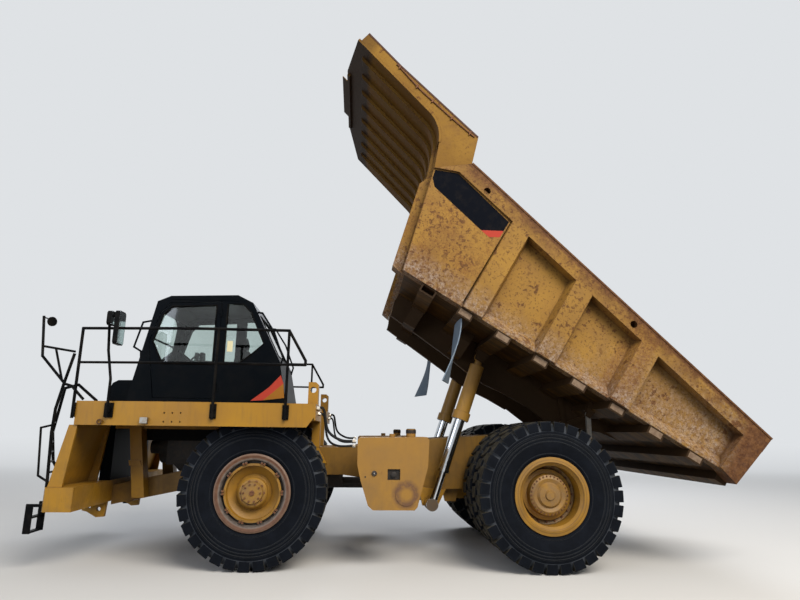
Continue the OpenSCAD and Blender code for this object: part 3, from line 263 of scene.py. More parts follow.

# %% [markdown]
# ## Scoured enamel on the bed
# The bed is the same enamel after years of rock. Its sides have faded to a dull ochre and carry brown
# specks of rust, some the size of a coin and some the size of a palm. Weather works from the edges:
# the top rail and the tail post are brown with rust, the front panel and one rib carry a fine rust,
# and pale stone dust lies on the sill and the tail. What faces down is painted dark brown, as mud and
# oil in streaks and as painted shade, and near black at the front rim as painted shade. Places are
# therefore measured in the bed's own frame, along and square to its floor.

# %% Scoured enamel
def bed_places(tree, place):
    """How far up the floor, how high above it and how far below the slanted top rail a place lies."""
    u = along(tree, place, bed_origin, bed_along)
    w = along(tree, place, bed_origin, bed_up)
    rail_slope, tail_height = 0.216, 0.891
    rail = add(tree, "ShaderNodeMath", {0: u, 1: rail_slope, 2: tail_height}, operation="MULTIPLY_ADD")
    below = add(tree, "ShaderNodeMath", {0: rail.outputs[0], 1: w}, operation="SUBTRACT").outputs[0]
    return u, w, below


def weather(tree, place, colour):
    """Fine rust, stone dust and rusted edges on the sides of the bed."""
    u, w, below = bed_places(tree, place)
    # The front panel and the third rib carry a fine rust all over
    front = where_all(tree, between(tree, u, 4.50, 4.80), between(tree, w, 1.60, 1.20),
                      patches(tree, place, 520, 0.36, 0.60, 6.0, 0.65), 0.8)
    rib = where_all(tree, between(tree, u, 1.84, 1.90), between(tree, u, 2.36, 2.28), 0.85)
    grain = patches(tree, place, 34, 0.40, 0.60, 8.0, 0.75)
    colour = paint(tree, colour, "#744a28", where_any(tree, front, rib), grain)
    # Stone dust lies on the sill and grows towards the tail
    sill = between(tree, w, 0.55, 0.20)
    tail = where_all(tree, between(tree, u, 3.00, 0.60), between(tree, w, 1.25, 0.45))
    grit = patches(tree, place, 75, 0.36, 0.60, 9.0, 0.8)
    stone = paint(tree, "#664c3b", "#a5978b", patches(tree, place, 48, 0.44, 0.56, 8.0, 0.8))
    colour = paint(tree, colour, stone, where_any(tree, sill, tail), grit, 0.9)
    # The top rail and the tail post are brown with rust
    rail = where_all(tree, between(tree, below, 0.26, 0.08),
                     patches(tree, place, 260, 0.38, 0.56, 8.0, 0.75), 0.85)
    edge = where_any(tree, between(tree, below, 0.075, 0.035), between(tree, u, 0.40, 0.16))
    brown = paint(tree, "#47291b", "#704c2e", patches(tree, place, 90, 0.40, 0.60, 7.0, 0.75))
    return paint(tree, colour, brown, where_any(tree, rail, where_all(tree, edge, 0.93)))


def rust_specks(tree, place, colour, speck_share):
    """Specks that come in clusters, broad rust spots and rusted edges."""
    clusters = patches(tree, place, 640, 0.43, 0.53, 2.0)
    fine = where_all(tree, patches(tree, place, 70, 0.575, 0.600), clusters)
    dots = where_all(tree, patches(tree, place, 30, 0.585, 0.620), 0.8)
    broad = patches(tree, place, 240, 0.610, 0.640, 7.0, 0.68)
    specks = where_all(tree, where_any(tree, fine, dots), speck_share)
    edges = where_all(tree, edge_mask(tree, 22), patches(tree, place, 90, 0.40, 0.55, 7.0, 0.7))
    rust = paint(tree, "#4b2e1c", "#6a4629", patches(tree, place, 22, 0.4, 0.6))
    return paint(tree, colour, rust, where_any(tree, specks, broad, edges), 0.85)


def underside_mud_and_shade(tree, place, colour, shades, from_facing):
    """Mud and oil in streaks along the bed, with painted shade, on all that faces down; near black painted
    shade at the front rim.
    """
    streaks = patches(tree, stretched(tree, place, (0.25, 1.0, 0.25)), 160, 0.42, 0.66, 6.0, 0.6)
    flat = between(tree, facing(tree, bed_up), -0.90, -0.99)
    mud_and_shade_tone = paint(tree, shades[0], shades[1], streaks, flat)
    down = between(tree, facing(tree, bed_up), from_facing, from_facing - 0.25)
    colour = paint(tree, colour, mud_and_shade_tone, down, 0.93)
    # The front rim's underside is painted near black: painted shade
    front_rim_shade = between(tree, along(tree, place, bed_origin, bed_along), 8.02, 8.12)
    return paint(tree, colour, "#1d1109", front_rim_shade, down, 0.9)


def scoured_enamel(name, fresh, faded, speck_share, weathered=False, under=None, under_from=0.10):
    material, tree, shader, place = start_material(name, 0.66, IOR=1.45, Specular_IOR_Level=0.18)
    colour = paint(tree, fresh, faded, patches(tree, place, 700, 0.38, 0.62, 5.0))
    colour = paint(tree, colour, "#7a5a3a", patches(tree, place, 330, 0.50, 0.75, 8.0, 0.7), 0.55)
    if weathered:
        colour = weather(tree, place, colour)
    colour = rust_specks(tree, place, colour, speck_share)
    if under is not None:
        colour = underside_mud_and_shade(tree, place, colour, under, under_from)
    # Inner corners are darkened as dirt and painted shade
    colour = paint(tree, colour, "#3f2c1c", corners(tree, 0.22), 0.6)
    tree.links.new(colour, shader.inputs["Base Color"])
    uneven(tree, shader, place, 300, 14.0, 0.6, 6.0, 0.6)
    return material


bed_enamel = scoured_enamel("scoured_ochre_enamel", "#a07a37", "#8e6b35", 0.95, weathered=True)
# The canopy's and the floor's under colours are mud and painted shade on what faces down
canopy_enamel = scoured_enamel("canopy_ochre_enamel", "#a17b34", "#906c2e", 0.25,
                               under=("#583700", "#5c430e"))
# From facing 0.40 the floor also darkens faces that stand sideways, as painted shade
floor_steel = scoured_enamel("rock_worn_steel", "#75592f", "#5a4630", 1.0,
                             under=("#2b1d0e", "#5f431a"), under_from=0.40)
print("scoured", bed_enamel.name, canopy_enamel.name, floor_steel.name)

# %% [markdown]
# ## Rims
# A rim is rolled steel, sprayed like the chassis. The front rims have lost their paint outside the
# clamps, where the tyre fitter's irons strike, and show rust and grey steel in fine rings. The rear
# rims are yellow all over, with brown dust round the planetary cover.

# %% Rims
def ring_mask(tree, radius, inner, outer):
    """1 between two radii, with edges three millimetres soft."""
    soft = 0.003
    outside = between(tree, radius, inner, inner + soft)
    return where_all(tree, outside, between(tree, radius, outer, outer - soft))


def rim_enamel(name, axle, bare_from, dusty_to):
    """Enamel that is bare steel outside one radius and dusty inside another."""
    material, tree, shader, place = start_material(name, 0.5, IOR=1.5)
    radius = from_axle(tree, place, axle)
    colour = paint(tree, "#9f741d", "#856225", patches(tree, place, 300, 0.35, 0.65, 5.0))
    inside = between(tree, radius, dusty_to, dusty_to - 0.06)
    colour = paint(tree, colour, "#7b6140", inside, patches(tree, place, 130, 0.30, 0.60, 7.0, 0.7), 0.75)
    # Outside the clamps come a grey band, a bright worn line and the rusty flange
    cloud = patches(tree, place, 90, 0.42, 0.58, 7.0, 0.7)
    grey = paint(tree, "#4a443f", "#6b655f", cloud)
    rust = paint(tree, "#593620", "#6b4a34", cloud)
    steel = paint(tree, grey, rust, between(tree, radius, 0.474, 0.478))
    line = where_any(tree, ring_mask(tree, radius, 0.464, 0.478), between(tree, radius, 0.512, 0.516))
    steel = paint(tree, steel, "#77604f", line, 0.7)
    colour = paint(tree, colour, steel, between(tree, radius, bare_from, bare_from + 0.004))
    # Brown grime lies in the rolled grooves of the flange
    grooves = where_any(tree, ring_mask(tree, radius, 0.488, 0.501), ring_mask(tree, radius, 0.448, 0.459))
    colour = paint(tree, colour, "#4a3019", grooves, 0.45)
    specks = patches(tree, place, 30, 0.62, 0.68, 5.0, 0.7)
    colour = paint(tree, colour, "#5a3a24", where_any(tree, specks, edge_mask(tree, 8)), 0.5)
    # Inner corners are darkened as dirt and painted shade
    colour = paint(tree, colour, "#2c2118", corners(tree, 0.08), 0.8)
    tree.links.new(colour, shader.inputs["Base Color"])
    uneven(tree, shader, place, 60, 1.5, 0.4, 4.0)
    return material


beyond_the_rim = 0.90
front_rim_enamel = rim_enamel("front_rim_enamel", front_axle, bare_from=0.404, dusty_to=0.20)
rear_rim_enamel = rim_enamel("rear_rim_enamel", rear_axle, bare_from=beyond_the_rim, dusty_to=0.33)
print("rims", front_rim_enamel.name, rear_rim_enamel.name)

# %% [markdown]
# ## Satin black enamel
# The cab, the rails and the ladders are sprayed satin black, and the trim is moulded in black. Such
# paint has a broad, weak gloss and looks a little blue under the sky, and a thin dust dulls it.

# %% Satin black enamel
def satin_black(name, colour, roughness, dust_share):
    material, tree, shader, place = start_material(name, roughness, IOR=1.3, Specular_IOR_Level=0.10)
    dust = patches(tree, place, 240, 0.45, 0.75, 7.0, 0.7)
    tree.links.new(paint(tree, colour, "#5c5448", dust, dust_share), shader.inputs["Base Color"])
    uneven(tree, shader, place, 160, 2.0, 0.3)
    return material


cab_black = satin_black("satin_black_enamel", "#04080d", 0.40, 0.03)
rail_black = satin_black("rail_black_enamel", "#090a0c", 0.42, 0.14)
trim_black = satin_black("moulded_black_trim", "#0c0d0e", 0.6, 0.1)
print("blacks", cab_black.name, rail_black.name, trim_black.name)

# %% [markdown]
# ## Rubber
# Tyre rubber is filled with carbon black and is nearly free of gloss. Outdoors it turns slate grey,
# brown dust stays on the faces that roll over the ground, and pale dust stays in the grooves between
# the lugs. The mud flaps are bleached sheet rubber, and their colour is raised further as painted
# light, since they hang in shade. The grain of the moulded side is drawn 12 mm wide, coarser than
# the real one, so that it shows.

# %% Rubber
def vulcanised_rubber(name, dark, dusty, dust_share, crown_dust=0.0):
    material, tree, shader, place = start_material(name, 0.85, IOR=1.52, Specular_IOR_Level=0.12)
    colour = paint(tree, dark, dusty, patches(tree, place, 210, 0.40, 0.75, 7.0, 0.7), dust_share)
    colour = paint(tree, colour, "#4b4e50", edge_mask(tree, 9), 0.45)
    # The faces that roll over the ground don't face across the truck
    across = add(tree, "ShaderNodeMath", {0: facing(tree, (0, 1, 0))}, operation="ABSOLUTE").outputs[0]
    rolled = where_all(tree, between(tree, across, 0.50, 0.25),
                       patches(tree, place, 85, 0.34, 0.62, 7.0, 0.75))
    colour = paint(tree, colour, "#57503f", rolled, crown_dust)
    tree.links.new(colour, shader.inputs["Base Color"])
    uneven(tree, shader, place, 12, 0.8, 0.5)
    return material


tyre_rubber = vulcanised_rubber("vulcanised_tyre_rubber", "#070b12", "#161b24", 0.6, crown_dust=0.75)
groove_rubber = vulcanised_rubber("dusty_groove_rubber", "#2c3138", "#5c6066", 0.8, crown_dust=0.7)
# The flaps' pale colour is bleached rubber and painted light, as they hang in shade
flap_rubber_painted_light = vulcanised_rubber("bleached_rubber_painted_light", "#7b8b9b", "#8b97a2", 0.7)
hose_rubber = vulcanised_rubber("hose_rubber", "#191a1c", "#3c3a36", 0.4)
print("rubbers", tyre_rubber.name, groove_rubber.name, flap_rubber_painted_light.name, hose_rubber.name)

# %% [markdown]
# ## Metals, glass and film
# The hoist stages are hard chromed and ground, so they mirror the floor. Bolts and the engine are cast
# or plated iron with a brown film, and bare plates and bars are rusty and dull. Window glass is
# toughened and lightly tinted green, and the lamps' lenses are moulded and a little cloudy. The
# stripes are printed vinyl, flat in colour with a weak sheen.

# %% Metals
def metal(name, colour, roughness, film, film_share, metallic=1.0):
    """Metal with a broken film of dirt or rust."""
    material, tree, shader, place = start_material(name, roughness, Metallic=metallic)
    cloud = patches(tree, place, 60, 0.42, 0.7, 6.0, 0.7)
    tree.links.new(paint(tree, colour, film, cloud, film_share), shader.inputs["Base Color"])
    uneven(tree, shader, place, 26, 0.6, 0.4)
    return material


hard_chrome = metal("ground_hard_chrome", "#c9cdd2", 0.14, "#a8a39a", 0.3)
cast_iron = metal("cast_iron_casing", "#242220", 0.65, "#3d3126", 0.8, 0.3)
plated_steel = metal("plated_steel", "#9a9890", 0.38, "#7d6248", 0.6)
rusty_steel = metal("rusted_steel", "#6b4630", 0.8, "#8a5f3c", 0.8, 0.2)
knuckle_iron = metal("knuckle_iron", "#5d5348", 0.7, "#6b5336", 0.7, 0.2)
dark_rust = metal("dark_rusted_steel", "#3f261c", 0.8, "#5b3a2b", 0.8, 0.1)
beam_end_steel = metal("dusty_beam_steel", "#86725d", 0.85, "#573f2e", 0.8, 0.0)
mirror_silver = metal("silvered_glass", "#dfe3e6", 0.04, "#b8bcc0", 0.2)
ejector_steel = metal("ejector_steel", "#77756f", 0.55, "#6a5440", 0.7, 0.3)
print("materials so far", len(bpy.data.materials))

# %% Glass and film
def clear(name, roughness, ior, clearness, tint):
    """A see-through material with a light tint."""
    material, _, shader, _ = start_material(name, roughness, IOR=ior, Transmission_Weight=clearness)
    shader.inputs["Base Color"].default_value = linear(tint)
    return material


def printed_film(name, colour):
    """Vinyl film with a satin face, used for stripes and for the blank panels."""
    material, tree, shader, place = start_material(name, 0.55, IOR=1.3, Specular_IOR_Level=0.06)
    dust = patches(tree, place, 120, 0.5, 0.75, 6.0, 0.7)
    tree.links.new(paint(tree, colour, "#8a7a64", dust, 0.03), shader.inputs["Base Color"])
    return material


window_glass = clear("toughened_glass", 0.03, 1.5, 1.0, "#dbe5e2")
lens_glass = clear("moulded_lens", 0.12, 1.52, 0.6, "#dfe3e4")
black_film = printed_film("black_vinyl_film", "#070b14")
red_film = printed_film("red_vinyl_film", "#b24538")
ochre_film = printed_film("ochre_vinyl_film", "#9a6a2c")
white_film = printed_film("white_vinyl_film", "#e2dcb4")
print("materials", len(bpy.data.materials))

# %% [markdown]
# ## Finishes for the frame
# Each CAD node keeps its shape and gets one of these finishes.

# %% Finishes for the frame
FINISHES = {
    underdeck_shaded_enamel: ["frame_rails"],
    chassis_enamel: ["frame_brackets", "front_bumper", "front_panels", "platforms", "hood",
                     "suspension_struts", "rear_axle", "knuckle_left", "knuckle_right", "air_cleaners"],
    tank_enamel: ["side_tanks"],
    front_rim_enamel: ["rim_front_left", "rim_front_right"],
    rear_rim_enamel: ["rim_rear_left", "rim_rear_right"],
    hoist_enamel: ["hoist_barrel_left", "hoist_barrel_right"],
    bed_enamel: ["bed_side_left", "bed_side_right", "bed_front_wall"],
    canopy_enamel: ["canopy"],
    floor_steel: ["bed_floor"],
    ejector_steel: ["rock_ejector_left", "rock_ejector_right"],
    cab_black: ["cab_shell", "cab_door", "radiator_grille"],
    rail_black: ["ladders", "handrails", "mirrors"],
    trim_black: ["cab_interior"],
    window_glass: ["cab_glass", "door_glass"],
    cast_iron: ["engine", "drive_shaft"],
    plated_steel: ["lamps"],
    tyre_rubber: ["tyre_front_left", "tyre_front_right", "tyres_rear_left", "tyres_rear_right"],
    flap_rubber_painted_light: ["mud_flaps"],
    hard_chrome: ["hoist_stage_left", "hoist_stage_right", "hoist_rod_left", "hoist_rod_right"],
}
for finish, names in FINISHES.items():
    for name in names:
        for slot in nodes[name].material_slots:
            slot.material = finish
print("finished", sum(len(names) for names in FINISHES.values()), "of", len(nodes), "nodes")

# %% [markdown]
# ## Making pieces
# An added piece is a mesh made from lists of points and faces, or a tube along a route. Each gets
# its finish and rides on a body of the truck.

# %% Making pieces
def piece(name, points, faces, material, body):
    mesh = bpy.data.meshes.new(name)
    mesh.from_pydata([tuple(p) for p in points], [], faces)
    mesh.validate()
    mesh.materials.append(material)
    made = bpy.data.objects.new(name, mesh)
    bpy.context.scene.collection.objects.link(made)
    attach(made, body)
    return made


def circle(centre, axis, radius, count=32):
    """Points of a circle that stands square to an axis."""
    axis = Vector(axis).normalized()
    side = axis.orthogonal().normalized()
    other = axis.cross(side)
    return [Vector(centre) + (side * math.cos(a) + other * math.sin(a)) * radius
            for a in (2 * math.pi * k / count for k in range(count))]


class Shape:
    """Points and faces that grow together, so that many small things become one mesh."""

    def __init__(self):
        self.points, self.faces, self.dusty = [], [], set()

    def ring_stack(self, rings, closed=True, cap_start=False, cap_end=False):
        """Joins rings of equally many points with quads."""
        first, count = len(self.points), len(rings[0])
        for ring in rings:
            self.points.extend(Vector(p) for p in ring)
        for i in range(len(rings) - 1):
            a, b = first + i * count, first + (i + 1) * count
            for k in range(count if closed else count - 1):
                n = (k + 1) % count
                self.faces.append((a + k, a + n, b + n, b + k))
        if cap_start:
            self.faces.append(tuple(reversed(range(first, first + count))))
        if cap_end:
            last = first + (len(rings) - 1) * count
            self.faces.append(tuple(range(last, last + count)))

    def hexagon_bolt(self, place, axis, radius, height):
        """A hexagon head with a chamfered top, standing along an axis."""
        rise = Vector(axis).normalized() * height
        profile = ((1.0, 0.0), (1.0, 0.8), (0.82, 1.0))
        rings = [circle(Vector(place) + rise * share, axis, radius * grow, 6) for grow, share in profile]
        self.ring_stack(rings, cap_end=True)

    def turned_piece(self, place, axis, profile, steps=32):
        """Turns pairs of radius and height about an axis, and closes both ends."""
        way = Vector(axis).normalized()
        rings = [circle(Vector(place) + way * height, axis, radius, steps) for radius, height in profile]
        self.ring_stack(rings, cap_start=True, cap_end=True)

    def tube(self, points, radius, sides=10, steps=6, closed=False):
        """A round tube along a smooth curve through the points."""
        route = smooth_route([Vector(p) for p in points], steps, closed)
        count = len(route)
        rings = []
        side = (route[1] - route[0]).orthogonal().normalized()
        for i, here in enumerate(route):
            after = route[(i + 1) % count] if closed else route[min(i + 1, count - 1)]
            before = route[i - 1] if closed else route[max(i - 1, 0)]
            way = (after - before).normalized()
            side = (side - way * side.dot(way)).normalized()
            other = way.cross(side)
            rings.append([here + (side * math.cos(a) + other * math.sin(a)) * radius
                          for a in (2 * math.pi * k / sides for k in range(sides))])
        if closed:
            rings.append(rings[0])
        self.ring_stack(rings, cap_start=not closed, cap_end=not closed)

    def hoop(self, centre, axis, radius, thickness, count=32):
        """A round bar bent into a circle."""
        self.tube(circle(centre, axis, radius, count), thickness, sides=8, steps=1, closed=True)

    def slab(self, outline, thickness):
        """A plate between an outline of points in one plane and its copy, moved by a vector."""
        step = Vector(thickness)
        self.ring_stack([[Vector(p) for p in outline], [Vector(p) + step for p in outline]],
                        cap_start=True, cap_end=True)


def smooth_route(points, steps, closed=False):
    """Points of a Catmull-Rom curve through the given points."""
    if steps == 1:
        return points
    count = len(points)
    route = []
    for i in range(count if closed else count - 1):
        a, b, c, d = [points[(i + k) % count] if closed else points[min(max(i + k, 0), count - 1)]
                      for k in (-1, 0, 1, 2)]
        for k in range(steps):
            t = k / steps
            route.append(0.5 * (2 * b + (c - a) * t + (2 * a - 5 * b + 4 * c - d) * t * t
                                + (3 * b - a - 3 * c + d) * t ** 3))
    return route if closed else route + [points[-1]]


def finish_shape(name, shape, material, body, smooth=False):
    made = piece(name, shape.points, shape.faces, material, body)
    if smooth:
        made.data.shade_smooth()
        made.data.set_sharp_from_angle(angle=math.radians(35))
    return made


def rectangle(first, third):
    """The four corners of a rectangle, from two opposite ones."""
    return [first, (first[0], third[1]), third, (third[0], first[1])]


# %% [markdown]
# ## Tyres
# The tyre is the largest form near the camera. Its carcass is a profile turned round the axle: a bead
# that grips the rim, a bulged side with a few moulded ridges, and a nearly flat crown. The tread is
# a rock pattern: blunt lugs run in from each shoulder, and the two rows are half a pitch apart. All
# lugs are one mesh with the carcass, because a real tyre is moulded in one piece.

# %% Tyre shapes
tyre_radius = 1.038
lug_height = 0.036
lug_count = 31
carcass = tyre_radius - lug_height
groove_from = 0.880
crown_half_width, crown_drop = 0.18, 0.10
# Profile of the outer half: radius and distance from the middle plane
side_profile = [(0.446, 0.224), (0.470, 0.238), (0.540, 0.262), (0.556, 0.282), (0.580, 0.292),
                (0.590, 0.286), (0.640, 0.303), (0.700, 0.313), (0.744, 0.316), (0.747, 0.321),
                (0.756, 0.321), (0.759, 0.316), (0.792, 0.314), (0.795, 0.319), (0.804, 0.318),
                (0.807, 0.312), (0.832, 0.310), (0.835, 0.316), (0.852, 0.314), (0.856, 0.307),
                (0.890, 0.300), (0.930, 0.286), (0.975, 0.262), (carcass, 0.220), (carcass + 0.004, 0.060)]
# One lug from the shoulder inwards: angle in pitches, distance from the middle and radius of its foot
lug_outline = [(-0.42, 0.302, 0.900), (0.38, 0.302, 0.900), (0.41, 0.235, 0.960), (0.48, 0.120, 0.980),
               (0.42, 0.018, 0.980), (-0.08, 0.018, 0.980), (-0.26, 0.110, 0.980), (-0.40, 0.235, 0.960)]


def turn(shape, profile, centre, steps=124):
    """Turns a profile of radius and distance along y about an axle."""
    angles = [2 * math.pi * k / steps for k in range(steps)]
    shape.ring_stack([[centre + Vector((radius * math.cos(a), y, radius * math.sin(a))) for a in angles]
                      for radius, y in profile])


def lug_top(distance):
    """The tread is crowned: its lugs are a little lower at the shoulders."""
    return tyre_radius - crown_drop * max(0.0, distance - crown_half_width) ** 1.6


def lug(centre, side, number):
    """The rings of one lug: its foot in the carcass, its walls and its smaller top."""
    pitch = 2 * math.pi / lug_count
    mid_angle = sum(p[0] for p in lug_outline) / len(lug_outline)
    mid_y = sum(p[1] for p in lug_outline) / len(lug_outline)
    shoulder_y, foot_overhang = 0.28, 0.004
    rings = []
    for shrink, depth in ((0.0, None), (0.02, 0.012), (0.10, 0.0)):
        ring = []
        for turn_share, y, foot in lug_outline:
            share = mid_angle + (turn_share - mid_angle) * (1 - shrink)
            out = mid_y + (y - mid_y) * (1 - shrink)
            radius = foot if depth is None else lug_top(out) - depth
            if depth is None and y > shoulder_y:
                out += foot_overhang
            angle = (number + 0.5 * (side > 0) + share) * pitch
            ring.append(centre + Vector((radius * math.cos(angle), side * out, radius * math.sin(angle))))
        rings.append(ring if side > 0 else ring[::-1])
    return rings


def tyre(shape, centre):
    full = [(r, -d) for r, d in side_profile] + [(r, d) for r, d in reversed(side_profile)]
    first = len(shape.faces)
    turn(shape, full, centre)
    # Pale dust lies in the grooves between the lugs
    steps = (len(shape.faces) - first) // (len(full) - 1)
    for i in range(len(full) - 1):
        if min(full[i][0], full[i + 1][0]) >= groove_from:
            shape.dusty.update(range(first + i * steps, first + (i + 1) * steps))
    for side in (-1, 1):
        for number in range(lug_count):
            shape.ring_stack(lug(centre, side, number), cap_end=True)


# %% Tyres in place
TYRES = {
    "tyre_front_left": ("wheel_front_left", front_axle, (front_tyre_y,)),
    "tyre_front_right": ("wheel_front_right", front_axle, (-front_tyre_y,)),
    "tyres_rear_left": ("wheels_rear_left", rear_axle, rear_tyre_ys),
    "tyres_rear_right": ("wheels_rear_right", rear_axle, tuple(-y for y in rear_tyre_ys)),
}
for name, (body, axle, distances) in TYRES.items():
    shape = Shape()
    for distance in distances:
        tyre(shape, axle + Vector((0, distance, 0)))
    made = piece(name + "_tread", shape.points, shape.faces, tyre_rubber, body)
    made.data.materials.append(groove_rubber)
    for i in shape.dusty:
        made.data.polygons[i].material_index = 1
    made.data.shade_smooth()
    made.data.set_sharp_from_angle(angle=math.radians(32))
    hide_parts(name)
print("tyres", len(TYRES), "with", lug_count * 2, "lugs each")

# %% [markdown]
# ## Nuts and bolts
# Every ring of bolts turns with its wheel. The front wheel has a bolted hub cover and ten rim clamps
# with two nuts each. The rear wheel has the two bolted rings of its planetary cover.

# %% Nuts and bolts
def bolt_ring(shape, centre, out, radius, count, size, height, offset_deg=0.0):
    """A ring of hexagon heads on washers, which stand out of a wheel."""
    washer_size, washer_height = size * 1.35, 0.003
    for k in range(count):
        a = math.radians(offset_deg + 360 * k / count)
        place = centre + Vector((math.cos(a), 0, math.sin(a))) * radius
        shape.turned_piece(place, out, [(washer_size, 0.0), (washer_size, washer_height)], steps=16)
        shape.hexagon_bolt(place + out * washer_height, out, size, height)


# Distances of the bolted faces from the tyre's middle plane
hub_flange, hub_cover, rim_clamps = 0.275, 0.317, 0.274
planetary_cover, planetary_flange = 0.158, -0.021
clamp_half_gap_deg = 2.6
for side, word in SIDES:
    out = Vector((0, side, 0))
    front, rear = Shape(), Shape()
    bolt_ring(front, front_axle + out * (front_tyre_y + hub_flange), out, 0.160, 10, 0.012, 0.012)
    hub = front_axle + out * (front_tyre_y + hub_cover)
    bolt_ring(front, hub, out, 0.118, 10, 0.010, 0.010)
    front.turned_piece(hub, out, [(0.036, 0.0), (0.036, 0.010), (0.022, 0.012), (0.020, 0.004)], steps=24)
    clamps = front_axle + out * (front_tyre_y + rim_clamps)
    for shift in (-clamp_half_gap_deg, clamp_half_gap_deg):
        bolt_ring(front, clamps, out, 0.412, 10, 0.013, 0.024, shift)
    finish_shape("front_wheel_bolts_" + word, front, rusty_steel, "wheel_front_" + word)
    bolt_ring(rear, rear_axle + out * (rear_tyre_ys[0] + planetary_cover), out, 0.262, 30, 0.009, 0.018)
    bolt_ring(rear, rear_axle + out * (rear_tyre_ys[0] + planetary_flange), out, 0.385, 20, 0.015, 0.018)
    finish_shape("rear_wheel_bolts_" + word, rear, rusty_steel, "wheels_rear_" + word)
print("bolt rings on", len(SIDES) * 2, "hubs")

# %% [markdown]
# ## Film, seals and glass
# The panels and stripes are vinyl film, drawn a little thicker than the real one so that it stands
# clear of the plate, and they carry no lettering. The side windows sit in rubber seals. The windscreen
# and the rear window are panes of toughened glass, with a wiper on the windscreen.

# %% Film
film_thickness = 0.0015
bed_side_y, cab_side_y, glass_y = 2.1978, 1.3498, 1.3252


def film(name, outline, y, material, body, slot, place=truck, mirrored=False):
    """A film on the left side, or on both."""
    shape = Shape()
    for side in ((1, -1) if mirrored else (1,)):
        shape.slab([place(a, side * y, b) for a, b in outline], (0, side * film_thickness, 0))
    finish_shape(name, shape, material, body)


black_panel = [(6.125, 1.735), (6.09, 1.60), (5.985, 1.49), (5.02, 1.28), (4.72, 1.46), (4.72, 1.63),
               (5.79, 1.885)]
red_panel = [(5.02, 1.28), (4.72, 1.46), (4.72, 1.34), (4.86, 1.25)]
red_band = [(4.42, 2.34), (4.15, 2.55), (3.98, 2.74), (3.93, 2.61), (4.23, 2.35)]
ochre_band = [(4.23, 2.35), (3.93, 2.61), (3.91, 2.39)]
sticker = rectangle((4.755, 3.095), (4.840, 3.265))
film("bed_panel_black", black_panel, bed_side_y, black_film, "bed", "black_paint", bed, mirrored=True)
film("bed_panel_red", red_panel, bed_side_y, red_film, "bed", "worn_yellow_paint", bed, mirrored=True)
film("cab_band_red", red_band, cab_side_y, red_film, "chassis", "worn_yellow_paint")
film("cab_band_ochre", ochre_band, cab_side_y, ochre_film, "chassis", "worn_yellow_paint")
film("window_sticker_blank", sticker, glass_y, white_film, "chassis", "lamp_glass")
print("film", film_thickness * 1000, "mm thick")

# %% Seals
cab_left_y, cab_right_y, seal_radius = 1.350, -0.300, 0.013
side_window = [(4.870, 3.850), (4.640, 3.860), (4.500, 3.730), (4.270, 3.230), (4.480, 3.030), (4.640, 2.915),
               (4.870, 2.910)]
door_window = [(5.040, 2.890), (5.040, 3.825), (5.730, 3.790), (5.855, 3.650), (5.975, 3.235), (5.800, 2.890)]
windscreen = [(-0.15, 2.90), (1.20, 2.90), (1.20, 3.75), (-0.15, 3.75)]
rear_window = [(-0.10, 3.06), (1.15, 3.06), (1.15, 3.70), (-0.10, 3.70)]
# Both screens lean, and each slope says how far for a metre of height
cab_front_x, cab_rear_x, rear_foot_z = 6.290, 4.010, 2.960
front_slope, rear_slope = 0.2069, 0.5054
front_out, rear_out = (Vector(v).normalized() for v in ((1, 0, front_slope), (-1, 0, rear_slope)))


def on_front(y, z, out=0.0):
    """A point on the cab's front face, with a distance out of it."""
    return truck(cab_front_x - front_slope * (z - deck_z), y, z) + front_out * out


def on_rear(y, z, out=0.0):
    """A point on the cab's rear face, with a distance out of it."""
    return truck(cab_rear_x + rear_slope * (z - rear_foot_z), y, z) + rear_out * out


def seal(shape, points):
    shape.tube(points, seal_radius, steps=1, closed=True)


cab_seals, door_seal = Shape(), Shape()
for outline, y in ((side_window, cab_left_y), (side_window, cab_right_y), (door_window, cab_right_y)):
    seal(cab_seals, [truck(x, y, z) for x, z in outline])
seal(cab_seals, [on_front(y, z) for y, z in windscreen])
seal(cab_seals, [on_rear(y, z) for y, z in rear_window])
seal(door_seal, [truck(x, cab_left_y, z) for x, z in door_window])
finish_shape("window_seals", cab_seals, trim_black, "chassis", smooth=True)
finish_shape("door_window_seal", door_seal, trim_black, "door", smooth=True)

# %% Glass and wiper
pane_inset, pane_thickness = -0.012, 0.006
shape = Shape()
shape.slab([on_front(y, z, pane_inset) for y, z in windscreen], front_out * -pane_thickness)
shape.slab([on_rear(y, z, pane_inset) for y, z in rear_window], rear_out * -pane_thickness)
finish_shape("screens", shape, window_glass, "chassis")

# Across, up, and out of the windscreen
wiper_arm = [(0.95, 2.85, 0.026), (0.80, 3.10, 0.034), (0.62, 3.34, 0.026)]
wiper_blade = [(0.92, 3.18, 0.012), (0.62, 3.34, 0.018), (0.32, 3.50, 0.012)]
shape = Shape()
shape.turned_piece(on_front(0.95, 2.85), front_out, [(0.028, -0.002), (0.028, 0.02), (0.018, 0.032)])
shape.tube([on_front(*p) for p in wiper_arm], 0.008)
shape.tube([on_front(*p) for p in wiper_blade], 0.007)
finish_shape("wiper", shape, trim_black, "chassis", smooth=True)
print("panes", pane_thickness * 1000, "mm thick")

# %% [markdown]
# ## Mirrors, lamps and shade sheets
# A mirror is silvered glass behind a narrow rim. A lamp has a bright reflector and a moulded lens, so
# both are added in front of its plain housing. Two upright black sheets under the deck, beside the
# engine, are painted shade: they fill the dark gap below the deck's skirt, and each is one flat plate.

# %% Mirrors and lamps
glass_proud, glass_depth = 0.001, 0.004
main_glass = (6.110, rectangle((2.140, 3.055), (2.350, 3.495)))
wide_glass = (6.230, rectangle((2.180, 3.325), (2.320, 3.495)))
shape = Shape()
for x, outline in (main_glass, wide_glass):
    shape.slab([truck(x + glass_proud, y, z) for y, z in outline], (-glass_depth, 0, 0))
finish_shape("mirror_glasses", shape, mirror_silver, "chassis")

